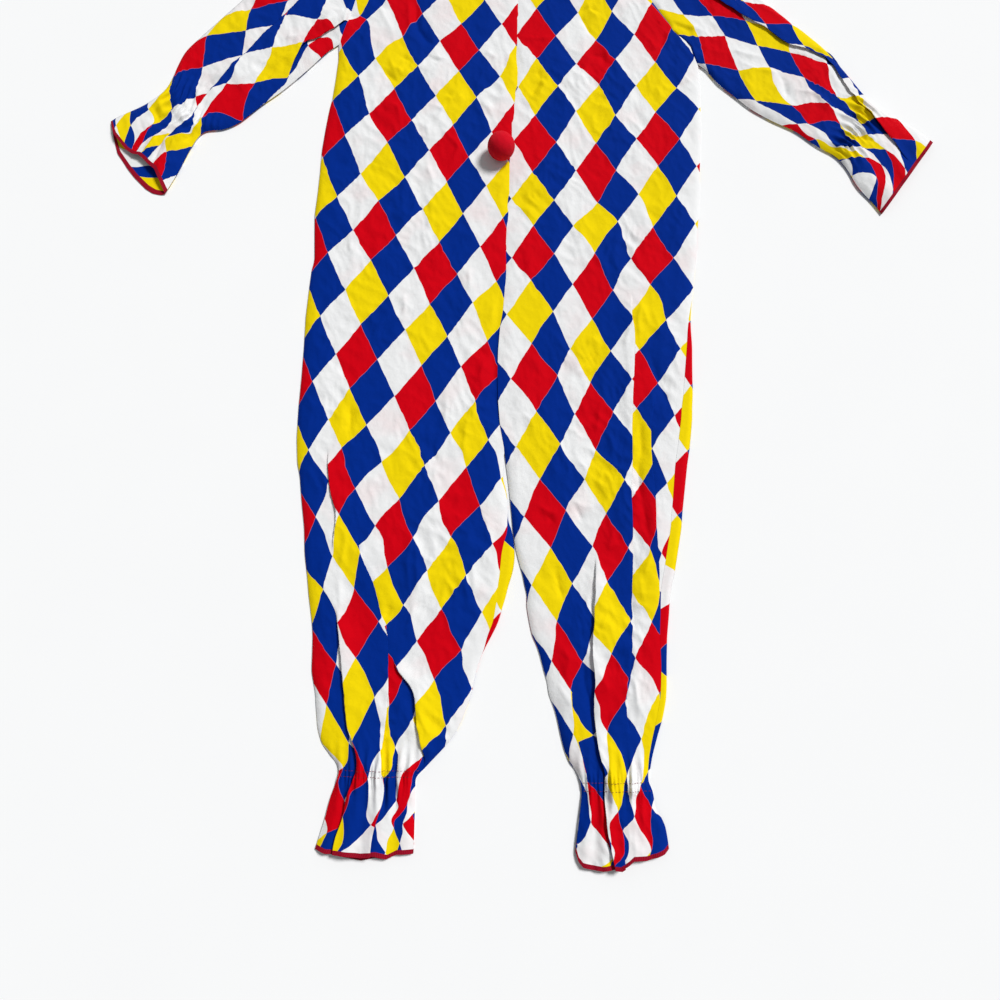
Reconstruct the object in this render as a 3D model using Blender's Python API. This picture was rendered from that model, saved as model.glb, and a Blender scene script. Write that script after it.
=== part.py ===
"""A clown jumpsuit lying flat on its back, face up, arms spread and ankles gathered into frills.

Each cut piece of cloth is one thin closed wall. The two backs lie flat on the floor, and the two
fronts lie on them, a seam's gap higher and swelling a little between their edges. The sleeves are
flattened tubes. +Y runs towards the head and +Z up from the floor. Left means -X, as seen from above.
Plan sizes in the tables are millimetres from a point between the knees and the waist, on the centre.
"""

import math
from collections import namedtuple

import bmesh
import bpy
import numpy as np
from mathutils import Vector

MM = 0.001
CLOTH = 1.5  # height of the cloth wall, which leaves over 1 mm across it on the folds' slopes
SEAM_GAP = 0.3  # between two pieces that are sewn together
SEAT = CLOTH + SEAM_GAP  # underside of a front where it meets the back

# Share of the way across a panel, from the centre or inseam to the side seam.
FRONT_COLUMNS = (
    0, 0.025, 0.07, 0.13, 0.2, 0.27, 0.34, 0.41, 0.48, 0.55, 0.62, 0.69, 0.76, 0.83, 0.9, 0.96, 1,
)
BACK_COLUMNS = (0, 0.2, 0.4, 0.6, 0.8, 1)
SLEEVE_COLUMNS = (0, 0.05, 0.1, 0.2, 0.3, 0.4, 0.5, 0.6, 0.7, 0.8, 0.9, 0.95, 1)
EDGE_SHARE = 0.07  # how soon a front rises from its edge to its full swell
FRILL_FLUTES = 4  # waves across an ankle frill
CUFF_FLUTES = 3
FOLD_END = 1.3  # how far a sleeve's inner face stays inside its folded edge

# A row across half of the body. in_* is on the centre seam or the inseam, and out_* on the shoulder,
# armhole or side seam. in_swell and swell lift the front at that edge and between the edges.
# flute is the height of the gathers' waves, and sag bows the row towards the feet.
Row = namedtuple("Row", "in_x in_y out_x out_y in_swell swell flute sag", defaults=(0, 0))

LEFT_ROWS = (
    Row(-65, 1088, -226, 1045, 0.0, 0.0),  # shoulder seam
    Row(-57, 1045, -231, 1000, 0.6, 1.2),
    Row(-25, 1014, -242, 950, 1.2, 2.0),
    Row(18, 1000, -255, 900, 2.0, 2.0),  # foot of the front neck
    Row(30, 940, -267, 856, 2.0, 2.0),
    Row(31, 870, -280, 812, 2.0, 2.0),  # armpit
    Row(29, 780, -285, 740, 2.0, 2.0),
    Row(23, 690, -296, 660, 2.0, 2.0),
    Row(17, 600, -301, 580, 2.0, 2.0),
    Row(12, 510, -307, 500, 2.0, 2.0),
    Row(10, 420, -305, 420, 2.0, 2.0),
    Row(7, 330, -310, 335, 2.0, 2.0),
    Row(-1, 240, -315, 250, 2.0, 2.0),
    Row(-2, 150, -315, 165, 2.0, 2.0),
    Row(4, 90, -313, 100, 1.5, 2.0),
    Row(7, 55, -309, 60, 0.0, 2.0),  # crotch
    Row(9, 15, -306, 15, 0.0, 2.0),
    Row(14, -30, -299, -40, 0.0, 2.0),
    Row(22, -72, -291, -90, 0.0, 2.0),
    Row(14, -118, -287, -140, 0.0, 2.0),
    Row(-1, -170, -279, -190, 0.0, 2.2),
    Row(-26, -225, -275, -240, 0.0, 2.4),
    Row(-41, -275, -269, -285, 0.0, 2.6),
    Row(-58, -325, -263, -328, 0.0, 2.8, 1.0),
    Row(-78, -358, -248, -356, 0.0, 3.0, 2.0),
    Row(-100, -376, -233, -374, 0.0, 3.0, 2.0),
    Row(-108, -386, -229, -385, 0.0, 3.0, 1.5),  # upper stitching of the elastic
    Row(-112, -398, -230, -397, 0.0, 3.0, 1.5),  # lower stitching of the elastic
    Row(-117, -415, -238, -412, 0.0, 3.8, 3.0),
    Row(-118, -440, -246, -437, 0.0, 4.7, 4.5),
    Row(-117, -468, -251, -464, 0.0, 4.8, 5.0),
    Row(-119, -494, -256, -488, 0.0, 4.8, 5.0, 6),  # hem
)
RIGHT_ROWS = (
    Row(105, 1088, 262, 1045, 0.0, 0.0),  # shoulder seam
    Row(96, 1045, 256, 1005, 0.6, 1.2),
    Row(65, 1014, 255, 955, 1.2, 2.0),
    Row(18, 1000, 263, 900, 2.0, 2.0),  # foot of the front neck
    Row(30, 940, 292, 836, 2.0, 2.0),
    Row(31, 870, 342, 772, 2.0, 2.0),  # armpit
    Row(29, 780, 342, 705, 2.0, 2.0),
    Row(23, 690, 341, 640, 2.0, 2.0),
    Row(17, 600, 336, 570, 2.0, 2.0),
    Row(12, 510, 330, 495, 2.0, 2.0),
    Row(10, 420, 325, 415, 2.0, 2.0),
    Row(7, 330, 315, 335, 2.0, 2.0),
    Row(-1, 240, 305, 250, 2.0, 2.0),
    Row(-2, 150, 306, 165, 2.0, 2.0),
    Row(4, 90, 299, 100, 1.5, 2.0),
    Row(7, 55, 289, 55, 0.0, 2.0),  # crotch
    Row(13, 15, 282, 10, 0.0, 2.0),
    Row(19, -25, 275, -40, 0.0, 2.0),
    Row(25, -75, 272, -85, 0.0, 2.0),
    Row(34, -120, 256, -130, 0.0, 2.0),
    Row(40, -170, 247, -185, 0.0, 2.2),
    Row(53, -222, 243, -235, 0.0, 2.4),
    Row(69, -275, 243, -285, 0.0, 2.6),
    Row(82, -325, 238, -330, 0.0, 2.8, 1.0),
    Row(92, -360, 224, -360, 0.0, 3.0, 2.0),
    Row(104, -384, 215, -382, 0.0, 3.0, 2.0),
    Row(110, -394, 213, -392, 0.0, 3.0, 1.5),  # upper stitching of the elastic
    Row(113, -406, 214, -404, 0.0, 3.0, 1.5),  # lower stitching of the elastic
    Row(113, -425, 219, -422, 0.0, 3.8, 3.0),
    Row(108, -452, 229, -448, 0.0, 4.7, 4.5),
    Row(105, -476, 234, -472, 0.0, 4.8, 5.0),
    Row(103, -497, 233, -490, 0.0, 4.8, 5.0, 17),  # hem
)
ROWS = {"left": LEFT_ROWS, "right": RIGHT_ROWS}
ELASTIC_ROWS = (26, 27)  # the rows that hold the ankle elastic between them
ARMHOLE_ROWS = 6  # rows from the shoulder seam to the armpit

# The back neck is shallower: these inner points stand for the first rows' own.
NeckPoint = namedtuple("NeckPoint", "x y")
BACK_NECK = {
    "left": (
        NeckPoint(-65, 1088), NeckPoint(-42, 1075), NeckPoint(-12, 1071), NeckPoint(20, 1070), NeckPoint(27, 970),
    ),
    "right": (
        NeckPoint(105, 1088), NeckPoint(82, 1075), NeckPoint(52, 1071), NeckPoint(20, 1070), NeckPoint(27, 970),
    ),
}

# A soft ridge that follows one column of a front from row to row.
Fold = namedtuple("Fold", "column first peak last height")
FRONT_FOLDS = {
    "left": (
        Fold(13, 17, 22, 26, 6.0),
        Fold(9, 20, 23, 26, 7.0),
        Fold(5, 21, 24, 26, 4.5),
        Fold(11, 15, 18, 22, 3.0),
    ),
    "right": (
        Fold(3, 18, 22, 26, 3.5),
        Fold(7, 18, 23, 26, 6.0),
        Fold(11, 14, 21, 26, 6.5),
        Fold(14, 12, 20, 26, 5.0),
    ),
}

# A row across a sleeve: top_* is on the fold that runs on from the shoulder, and under_* on the
# underarm seam. height is the tube's at the edges, and swell what the upper layer adds between them.
SleeveRow = namedtuple("SleeveRow", "top_x top_y under_x under_y height swell flute sag", defaults=(0, 0))
SLEEVE_ROWS = {
    "left": (
        SleeveRow(-304, 1017, -300, 790, 4.5, 2.2),
        SleeveRow(-370, 975, -322, 765, 4.5, 2.4),
        SleeveRow(-425, 930, -343, 742, 4.5, 2.4),
        SleeveRow(-470, 878, -372, 713, 4.5, 2.4),
        SleeveRow(-512, 830, -405, 686, 4.5, 2.4),
        SleeveRow(-544, 793, -440, 651, 4.5, 2.4),
        SleeveRow(-558, 750, -472, 636, 4.5, 2.4, 1.0),
        SleeveRow(-565, 722, -495, 641, 4.5, 2.4, 1.5),  # upper stitching of the elastic
        SleeveRow(-571, 714, -503, 632, 4.5, 2.4, 1.5),  # lower stitching of the elastic
        SleeveRow(-600, 688, -516, 608, 4.5, 3.4, 3.0),
        SleeveRow(-628, 673, -528, 575, 4.5, 4.0, 4.5),
        SleeveRow(-647, 664, -540, 545, 4.5, 4.2, 5.0),
        SleeveRow(-657, 655, -553, 519, 4.5, 4.2, 5.0, 5),  # hem
    ),
    "right": (
        SleeveRow(330, 1017, 352, 758, 4.5, 2.2),
        SleeveRow(394, 975, 372, 728, 4.5, 2.4),
        SleeveRow(440, 925, 396, 706, 4.5, 2.4),
        SleeveRow(480, 878, 425, 678, 4.5, 2.4),
        SleeveRow(524, 836, 460, 655, 4.5, 2.4),
        SleeveRow(560, 799, 498, 636, 4.5, 2.4),
        SleeveRow(590, 754, 530, 607, 4.5, 2.4, 1.0),
        SleeveRow(626, 695, 553, 588, 4.5, 2.4, 1.5),  # upper stitching of the elastic
        SleeveRow(633, 685, 561, 580, 4.5, 2.4, 1.5),  # lower stitching of the elastic
        SleeveRow(656, 668, 578, 560, 4.5, 3.4, 3.0),
        SleeveRow(684, 652, 588, 530, 4.5, 4.0, 4.5),
        SleeveRow(708, 634, 603, 503, 4.5, 4.2, 5.0),
        SleeveRow(726, 615, 619, 479, 4.5, 4.2, 5.0, 5),  # hem
    ),
}
SLEEVE_ELASTIC_ROWS = (7, 8)
SLEEVE_FOLDS = {
    "left": (Fold(5, 0, 2, 6, 4.5), Fold(8, 2, 5, 8, 3.5)),
    "right": (Fold(4, 1, 4, 8, 4.5), Fold(7, 0, 3, 7, 5.0), Fold(9, 3, 6, 9, 4.0)),
}

ELASTIC_WIDTH = 8.0
ELASTIC_WALL = 0.6
ELASTIC_HEIGHT = 1.6  # of the flattened loop, over both strands
ELASTIC_INSET = 11.0  # from the side folds of the ankle or wrist to the loop's ends
ELASTIC_END_STEPS = 4

POMPOM_X, POMPOM_Y = 2.0, 590.0
POMPOM_RADIUS = 23.0
POMPOM_BASE = 9.0  # radius of the flat where it is sewn on
POMPOM_SEGMENTS, POMPOM_RINGS = 20, 12

Finish = namedtuple("Finish", "colour roughness")
CLOTH_FINISH = Finish((0.002, 0.030, 0.260), 0.85)
POMPOM_FINISH = Finish((0.640, 0.003, 0.012), 0.95)
ELASTIC_FINISH = Finish((0.760, 0.740, 0.700), 0.80)


def bowed_row(start, end, shares, sag):
    """Points from start to end at the given shares, bowed by sag towards the feet."""
    start, end = np.array(start, float), np.array(end, float)
    along = end - start
    across = np.array((along[1], -along[0])) / np.hypot(*along)
    if across[1] > 0:
        across = -across
    shares = np.asarray(shares, float)[:, None]
    return start + along * shares + across * sag * 4 * shares * (1 - shares)


def fold_heights(folds, row_count, column_count):
    """The height that the folds add at each row and column."""
    heights = np.zeros((row_count, column_count))
    rows = np.arange(row_count)
    for fold in folds:
        ends = (fold.first, fold.peak, fold.last)
        heights[:, fold.column] += fold.height * np.interp(rows, ends, (0, 1, 0))
    return heights


def flute_waves(columns, waves):
    """Waves from 0 to 1 across a gathered edge, level at both ends."""
    return 0.5 - 0.5 * np.cos(2 * math.pi * waves * np.asarray(columns, float))


def new_object(name, bm, finish):
    """An object of this name made from bm, in its own material."""
    bmesh.ops.triangulate(bm, faces=bm.faces[:])
    bmesh.ops.recalc_face_normals(bm, faces=bm.faces[:])
    mesh = bpy.data.meshes.new(name)
    bm.to_mesh(mesh)
    bm.free()
    mesh.shade_smooth()
    mesh.set_sharp_from_angle(angle=math.radians(40))
    material = bpy.data.materials.new(name)
    material.use_nodes = True
    shader = material.node_tree.nodes["Principled BSDF"]
    shader.inputs["Base Color"].default_value = (*finish.colour, 1.0)
    shader.inputs["Roughness"].default_value = finish.roughness
    shader.inputs["Metallic"].default_value = 0.0
    mesh.materials.append(material)
    made = bpy.data.objects.new(name, mesh)
    bpy.context.scene.collection.objects.link(made)
    return made


def join_grid(bm, grid, wrap=False):
    """Quads between the rows of a grid of vertices. wrap joins each row's end to its start."""
    width = len(grid[0])
    for near, far in zip(grid, grid[1:]):
        for j in range(width if wrap else width - 1):
            k = (j + 1) % width
            bm.faces.new((near[j], near[k], far[k], far[j]))


def grid_vertices(bm, plan, heights):
    """A grid of vertices from plan points and heights, both in millimetres."""
    return [
        [bm.verts.new((x * MM, y * MM, z * MM)) for (x, y), z in zip(line, levels)]
        for line, levels in zip(plan, heights)
    ]


def panel(name, plan, undersides, finish=CLOTH_FINISH):
    """A cut panel: a wall of cloth over a grid of plan points, standing on the given undersides."""
    bm = bmesh.new()
    lower = grid_vertices(bm, plan, undersides)
    upper = grid_vertices(bm, plan, undersides + CLOTH)
    join_grid(bm, lower)
    join_grid(bm, upper)
    for low, high in ((lower[0], upper[0]), (lower[-1], upper[-1])):
        join_grid(bm, (low, high))
    for column in (0, -1):
        join_grid(bm, ([line[column] for line in lower], [line[column] for line in upper]))
    return new_object(name, bm, finish)


def front_plan(side):
    rows = ROWS[side]
    shift = half_gap(side)
    return np.array(
        [
            bowed_row((row.in_x + shift, row.in_y), (row.out_x, row.out_y), FRONT_COLUMNS, row.sag)
            for row in rows
        ]
    )


def half_gap(side):
    """How far a panel's inner edge stands off the seam that it shares with the other side's."""
    return SEAM_GAP / 2 if side == "right" else -SEAM_GAP / 2


def front_undersides(side):
    """Height of a front's underside at each row and column."""
    rows = ROWS[side]
    edge_stops = (0, EDGE_SHARE, 1 - EDGE_SHARE, 1)
    waves = flute_waves(FRONT_COLUMNS, FRILL_FLUTES)
    lines = [
        SEAT
        + np.interp(FRONT_COLUMNS, edge_stops, (row.in_swell, row.swell, row.swell, 0))
        + row.flute * waves
        for row in rows
    ]
    return np.array(lines) + fold_heights(FRONT_FOLDS[side], len(rows), len(FRONT_COLUMNS))


def back_plan(side):
    rows = ROWS[side]
    neck = BACK_NECK[side]
    shift = half_gap(side)
    inner = [(point.x, point.y) for point in neck] + [(row.in_x, row.in_y) for row in rows[len(neck):]]
    return np.array(
        [
            bowed_row((x + shift, y), (row.out_x, row.out_y), BACK_COLUMNS, row.sag)
            for (x, y), row in zip(inner, rows)
        ]
    )


def armhole_point(side, share):
    """A point of the armhole at a share of the rows from the shoulder tip to the armpit."""
    rows = ROWS[side][:ARMHOLE_ROWS]
    places = np.linspace(0, 1, ARMHOLE_ROWS)
    x = np.interp(share, places, [row.out_x for row in rows])
    y = np.interp(share, places, [row.out_y for row in rows])
    return x + math.copysign(SEAM_GAP, x), y


def sleeve_plan(side):
    """Plan points of a sleeve's rows, from the armhole to the hem."""
    armhole = [[armhole_point(side, share) for share in SLEEVE_COLUMNS]]
    rows = [
        bowed_row((row.top_x, row.top_y), (row.under_x, row.under_y), SLEEVE_COLUMNS, row.sag)
        for row in SLEEVE_ROWS[side]
    ]
    return np.array(armhole + [row.tolist() for row in rows])


def sleeve_tops(side):
    """Height of a sleeve's upper outside at each row and column."""
    first = SLEEVE_ROWS[side][0]
    rows = (first._replace(swell=1.0),) + SLEEVE_ROWS[side]
    waves = flute_waves(SLEEVE_COLUMNS, CUFF_FLUTES)
    edge_stops = (0, 0.1, 0.9, 1)
    lines = [
        row.height + np.interp(SLEEVE_COLUMNS, edge_stops, (0, row.swell, row.swell, 0)) + row.flute * waves
        for row in rows
    ]
    return np.array(lines) + fold_heights(SLEEVE_FOLDS[side], len(rows), len(SLEEVE_COLUMNS))


def inset_ends(line, distance):
    """The row with its two end points moved in by distance along it."""
    moved = line.copy()
    step = (line[-1] - line[0]) / np.hypot(*(line[-1] - line[0])) * distance
    moved[0] += step
    moved[-1] -= step
    return moved


def tube_rings(bm, plan, low, high):
    """Closed rings of vertices: along each row on the low side, and back along it on the high side."""
    rings = []
    for line, bottom, top in zip(plan, low, high):
        middle = (bottom[0] + top[0]) / 2
        there = [(x, y, z) for (x, y), z in zip(line[1:-1], bottom[1:-1])]
        back = [(x, y, z) for (x, y), z in zip(line[1:-1], top[1:-1])]
        loop = [(*line[0], middle)] + there + [(*line[-1], middle)] + back[::-1]
        rings.append([bm.verts.new(Vector(point) * MM) for point in loop])
    return rings


def sleeve(side):
    """A sleeve: a flattened tube from the armhole to the frill's hem, open at both ends."""
    plan = sleeve_plan(side)
    tops = sleeve_tops(side)
    floor = np.zeros_like(tops)
    inner_plan = np.array([inset_ends(line, FOLD_END) for line in plan])
    bm = bmesh.new()
    outer = tube_rings(bm, plan, floor, tops)
    inner = tube_rings(bm, inner_plan, floor + CLOTH, tops - CLOTH)
    join_grid(bm, outer, wrap=True)
    join_grid(bm, inner, wrap=True)
    for end in (0, -1):
        join_grid(bm, (outer[end], inner[end]), wrap=True)
    return new_object("sleeve_" + side, bm, CLOTH_FINISH)


def loop_outline(half_length, height):
    """A flattened loop seen end on: two level strands joined by round ends."""
    radius = height / 2
    turns = [math.pi * (step / ELASTIC_END_STEPS - 0.5) for step in range(ELASTIC_END_STEPS + 1)]
    right = [(half_length - radius + radius * math.cos(a), radius * math.sin(a)) for a in turns]
    left = [(-u, -w) for u, w in right]
    return right + left


def elastic(name, start, end):
    """A flat elastic loop lying inside an ankle or wrist, between the points where its folds are."""
    start, end = Vector((*start, 0)), Vector((*end, 0))
    along = (end - start).normalized()
    side = Vector((0, 0, 1)).cross(along)
    middle = (start + end) / 2 + Vector((0, 0, SEAT + ELASTIC_HEIGHT / 2))
    half_length = (end - start).length / 2 - ELASTIC_INSET
    sizes = ((half_length, ELASTIC_HEIGHT), (half_length - ELASTIC_WALL, ELASTIC_HEIGHT - 2 * ELASTIC_WALL))
    bm = bmesh.new()
    loops = []
    for half, height in sizes:
        outline = loop_outline(half, height)
        loops.append(
            [
                [bm.verts.new((middle + along * u + side * v + Vector((0, 0, w))) * MM) for u, w in outline]
                for v in (-ELASTIC_WIDTH / 2, ELASTIC_WIDTH / 2)
            ]
        )
    outer, inner = loops
    join_grid(bm, outer, wrap=True)
    join_grid(bm, inner, wrap=True)
    for end_index in (0, 1):
        join_grid(bm, (outer[end_index], inner[end_index]), wrap=True)
    return new_object(name, bm, ELASTIC_FINISH)


def midpoint(first, second):
    return (first[0] + second[0]) / 2, (first[1] + second[1]) / 2


def ankle_elastic(side):
    upper, lower = (ROWS[side][row] for row in ELASTIC_ROWS)
    inner = midpoint((upper.in_x, upper.in_y), (lower.in_x, lower.in_y))
    outer = midpoint((upper.out_x, upper.out_y), (lower.out_x, lower.out_y))
    return elastic("elastic_ankle_" + side, inner, outer)


def wrist_elastic(side):
    upper, lower = (SLEEVE_ROWS[side][row] for row in SLEEVE_ELASTIC_ROWS)
    top = midpoint((upper.top_x, upper.top_y), (lower.top_x, lower.top_y))
    under = midpoint((upper.under_x, upper.under_y), (lower.under_x, lower.under_y))
    return elastic("elastic_wrist_" + side, top, under)


def pompom():
    """A round pompom, cut flat where it is sewn on, just clear of the front under it."""
    body_rows = LEFT_ROWS[ARMHOLE_ROWS]
    front_top = SEAT + body_rows.swell + CLOTH
    rise = math.sqrt(POMPOM_RADIUS**2 - POMPOM_BASE**2)
    bm = bmesh.new()
    bmesh.ops.create_uvsphere(
        bm, u_segments=POMPOM_SEGMENTS, v_segments=POMPOM_RINGS, radius=POMPOM_RADIUS * MM
    )
    cut = bmesh.ops.bisect_plane(
        bm,
        geom=bm.verts[:] + bm.edges[:] + bm.faces[:],
        plane_co=(0, 0, -rise * MM),
        plane_no=(0, 0, -1),
        clear_outer=True,
    )
    rim = [item for item in cut["geom_cut"] if isinstance(item, bmesh.types.BMEdge)]
    bmesh.ops.contextual_create(bm, geom=rim)
    height = front_top + SEAM_GAP + rise
    bmesh.ops.translate(bm, verts=bm.verts[:], vec=Vector((POMPOM_X, POMPOM_Y, height)) * MM)
    return new_object("pompom", bm, POMPOM_FINISH)


def centre_on_floor(pieces):
    """Moves the pieces together, so that the middle of the whole plan is at the origin."""
    corners = np.array([vertex.co for piece in pieces for vertex in piece.data.vertices])
    middle = (corners.min(axis=0) + corners.max(axis=0)) / 2
    for piece in pieces:
        piece.location = (-middle[0], -middle[1], 0)


def build():
    for old in list(bpy.data.objects):
        bpy.data.objects.remove(old)
    pieces = [pompom()]
    for side in ("left", "right"):
        plan = back_plan(side)
        pieces.append(panel("back_" + side, plan, np.zeros(plan.shape[:2])))
        pieces.append(panel("front_" + side, front_plan(side), front_undersides(side)))
        pieces.append(sleeve(side))
        pieces.append(ankle_elastic(side))
        pieces.append(wrist_elastic(side))
    centre_on_floor(pieces)


build()
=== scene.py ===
import math
from collections import namedtuple

import bmesh
import bpy
import numpy as np
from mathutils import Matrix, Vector


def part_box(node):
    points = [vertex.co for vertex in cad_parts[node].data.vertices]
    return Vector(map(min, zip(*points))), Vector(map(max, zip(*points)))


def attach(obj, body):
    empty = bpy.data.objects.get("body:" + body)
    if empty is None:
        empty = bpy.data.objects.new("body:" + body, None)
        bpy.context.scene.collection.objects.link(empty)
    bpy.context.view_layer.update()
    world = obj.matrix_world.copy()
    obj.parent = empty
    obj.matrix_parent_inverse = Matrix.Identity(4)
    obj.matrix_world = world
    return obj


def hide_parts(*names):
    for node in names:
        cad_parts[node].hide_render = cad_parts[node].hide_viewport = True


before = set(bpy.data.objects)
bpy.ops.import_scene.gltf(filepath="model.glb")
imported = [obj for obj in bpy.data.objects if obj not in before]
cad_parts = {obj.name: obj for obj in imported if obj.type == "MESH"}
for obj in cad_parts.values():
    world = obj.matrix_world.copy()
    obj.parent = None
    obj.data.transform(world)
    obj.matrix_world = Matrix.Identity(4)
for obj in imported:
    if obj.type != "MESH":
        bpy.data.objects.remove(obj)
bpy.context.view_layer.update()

# Plan sizes are millimetres from a point on the centre between knees and waist, +Y to the head.
# Left means -X. The pattern is counted in half diamonds: column to the right, row to the head.
MM = 0.001
SIDES = ("left", "right")
POMPOM_X, POMPOM_Y, POMPOM_RADIUS = 2.0, 590.0, 23.0
HALF_WIDE = 34.0  # half a diamond's width
ROW_STEP = 2.7  # spacing of the mesh rows down a panel
TURN = 1.3  # radius of the cloth's turn in a fold
ELASTIC_Y = {"left": -391.0, "right": -402.0}
HEM_START, HEM_Y = -412.0, -488.0  # between them the rows come to follow the hem's own line
FRILL_START = -395.0
SHOULDER_Y = 1088.0
# From the first y up, the inner edge of a back is drawn up towards the second, by the third at the most.
NECK_START, NECK_Y, NECK_RAISE = 960, 1072, 70
COLUMNS = {"front": 150, "back": 60, "roll": 8, "sleeve": 110, "under": 50}  # mesh columns across each
SEEDS = {"front": {"left": 11, "right": 47}, "sleeve": {"left": 83, "right": 29}, "back": 71, "under": 59}
LOFT, EDGE_LOW, FRONT_LOW = 5.4, 1.5, 1.6  # a front's height at its middle and edges, and the least it has
INNER_RISE, OUTER_RISE = 3.6, 3.4  # how much higher an edge lies where another piece is under it
FRILL = {"front": (4, 3.2), "sleeve": (3, 3.0)}  # how many waves a frill has, and their height
SLEEVE_LOFT, SLEEVE_LOW = 6.6, 3.0
ELASTIC_LIFT = 2.6  # how far a front is held up over its ankle elastic
CRUMPLES = ((95, 2.2, 0.35), (46, 3.0, -0.5), (24, 2.4, 0.6), (12, 1.1, 0.2))  # size, height, lean
PUCKER_PITCH, PUCKER_HEIGHT = 14.0, 7.0
CRINKLE_PITCH, CRINKLE_HEIGHT = 5.5, 3.5

# ---- The body's outlines, (y, x) from the neck or shoulder to the hem. CENTRE is the shared front seam. ----
CENTRE = (
    (1000, 18), (940, 30), (890, 31), (860, 30), (800, 28), (740, 29), (700, 25), (660, 20), (620, 20),
    (575, 16), (520, 14), (470, 11), (400, 9), (350, 8), (310, 5), (280, 0), (240, -3), (200, -4), (160, -3),
    (120, 0),
)
INNER = {
    "left": (
        (1088, -65), (1045, -57), (1014, -25), *CENTRE, (90, 4), (58, 6), (36, 4), (18, 9), (5, 11),
        (-10, 12), (-30, 12), (-50, 19), (-65, 21), (-80, 22), (-95, 21), (-110, 18), (-128, 12), (-145, 8),
        (-160, 3), (-172, 0), (-185, -5), (-198, -12), (-213, -20), (-228, -27), (-245, -33), (-258, -36),
        (-278, -40), (-297, -46), (-318, -54), (-333, -62), (-346, -71), (-361, -85), (-376, -100),
        (-386, -109), (-392, -118), (-410, -118), (-445, -118), (-470, -118), (-489, -119),
    ),
    "right": (
        (1088, 105), (1045, 96), (1014, 65), *CENTRE, (90, 5), (58, 9), (35, 12), (18, 14), (5, 15),
        (-15, 17), (-40, 19), (-58, 21), (-75, 24), (-95, 29), (-112, 34), (-125, 36), (-140, 40), (-155, 39),
        (-175, 42), (-200, 47), (-212, 53), (-228, 58), (-248, 63), (-265, 68), (-282, 70), (-300, 77),
        (-315, 81), (-340, 86), (-360, 91), (-376, 98), (-386, 107), (-400, 113), (-415, 114), (-430, 112),
        (-450, 108), (-465, 106), (-480, 104), (-490, 103),
    ),
}
OUTER = {
    "left": (
        (1045, -226), (1000, -231), (950, -242), (900, -255), (856, -267), (812, -280), (780, -278),
        (740, -281), (700, -285), (680, -289), (640, -294), (600, -298), (560, -299), (520, -301),
        (480, -304), (440, -302), (400, -300), (380, -304), (350, -306), (300, -309), (250, -309),
        (200, -310), (150, -312), (100, -312), (60, -309), (40, -304), (0, -299), (-40, -293), (-80, -290),
        (-110, -285), (-140, -281), (-180, -274), (-200, -272), (-250, -271), (-280, -264), (-300, -262),
        (-330, -258), (-350, -251), (-365, -238), (-375, -229), (-385, -224), (-395, -227), (-420, -236),
        (-450, -243), (-470, -249), (-487, -254),
    ),
    "right": (
        (1045, 262), (1005, 256), (955, 255), (900, 264), (868, 283), (845, 298), (836, 301), (825, 310),
        (815, 322), (803, 331), (787, 335), (772, 341), (720, 341), (680, 340), (640, 339), (600, 336),
        (560, 332), (520, 330), (480, 326), (440, 321), (400, 318), (380, 314), (350, 310), (330, 307),
        (300, 303), (280, 302), (250, 303), (200, 301), (170, 300), (150, 298), (130, 297), (100, 293),
        (80, 290), (60, 286), (40, 283), (0, 277), (-20, 274), (-40, 272), (-60, 268), (-80, 264),
        (-110, 258), (-130, 252), (-150, 249), (-170, 247), (-200, 243), (-240, 240), (-270, 239),
        (-290, 237), (-315, 231), (-340, 222), (-365, 214), (-385, 210), (-400, 207), (-412, 213),
        (-430, 215), (-440, 221), (-455, 228), (-475, 231), (-487, 232),
    ),
}
# Rows run from y on the inner outline to y on the outer one.
ROW_ENDS = {
    "left": (
        (1088, 1045), (1045, 1000), (1014, 950), (1000, 900), (940, 856), (870, 812), (780, 740), (690, 660),
        (600, 580), (510, 500), (420, 415), (330, 330), (0, 0), (-300, -300), (-488, -487),
    ),
    "right": (
        (1088, 1045), (1045, 1005), (1014, 955), (1000, 900), (940, 836), (870, 772), (780, 705), (690, 640),
        (600, 570), (510, 495), (420, 412), (330, 328), (0, 0), (-300, -300), (-488, -487),
    ),
}
ARMPIT_Y = {"left": 812.0, "right": 772.0}
CROTCH_Y = 58.0
# How far the hem hangs below y = -488, by x.
HEM_DROP = {
    "left": ((-254, 0), (-240, 5), (-215, 7), (-190, 10), (-172, 8), (-155, 12), (-142, 6), (-120, 5)),
    "right": (
        (103, 2), (107, 15), (113, 22), (125, 25), (140, 27), (155, 25), (165, 26), (175, 20), (182, 14),
        (200, 14), (215, 10), (225, 6), (232, 0),
    ),
}
# How much further the left back's hem hangs, by x.
BACK_PEEK = ((-240, 0), (-215, 4), (-190, 5), (-165, 3), (-145, 0))
# Where a back panel rolls over the edge, the width of it that shows on top, (y, width).
ROLL = {
    ("left", "inner"): (
        (-25, 0), (-42, 5), (-60, 14), (-80, 20), (-100, 20), (-125, 16), (-150, 11), (-175, 8), (-198, 6),
        (-220, 0),
    ),
    ("right", "outer"): (
        (330, 0), (305, 2), (280, 5), (250, 9), (200, 13), (150, 17), (100, 19), (50, 19), (0, 17), (-40, 17),
        (-80, 17), (-110, 17), (-150, 14), (-190, 12), (-240, 8), (-280, 9), (-310, 9), (-350, 6), (-385, 3),
        (-402, 0),
    ),
}
HEM_BAND, HEM_RELIEF = 6.0, 0.5  # the bound hem's width and how far it stands up
SEAM_LAP = 7.0  # how far the left front reaches under the right one down the centre

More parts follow.
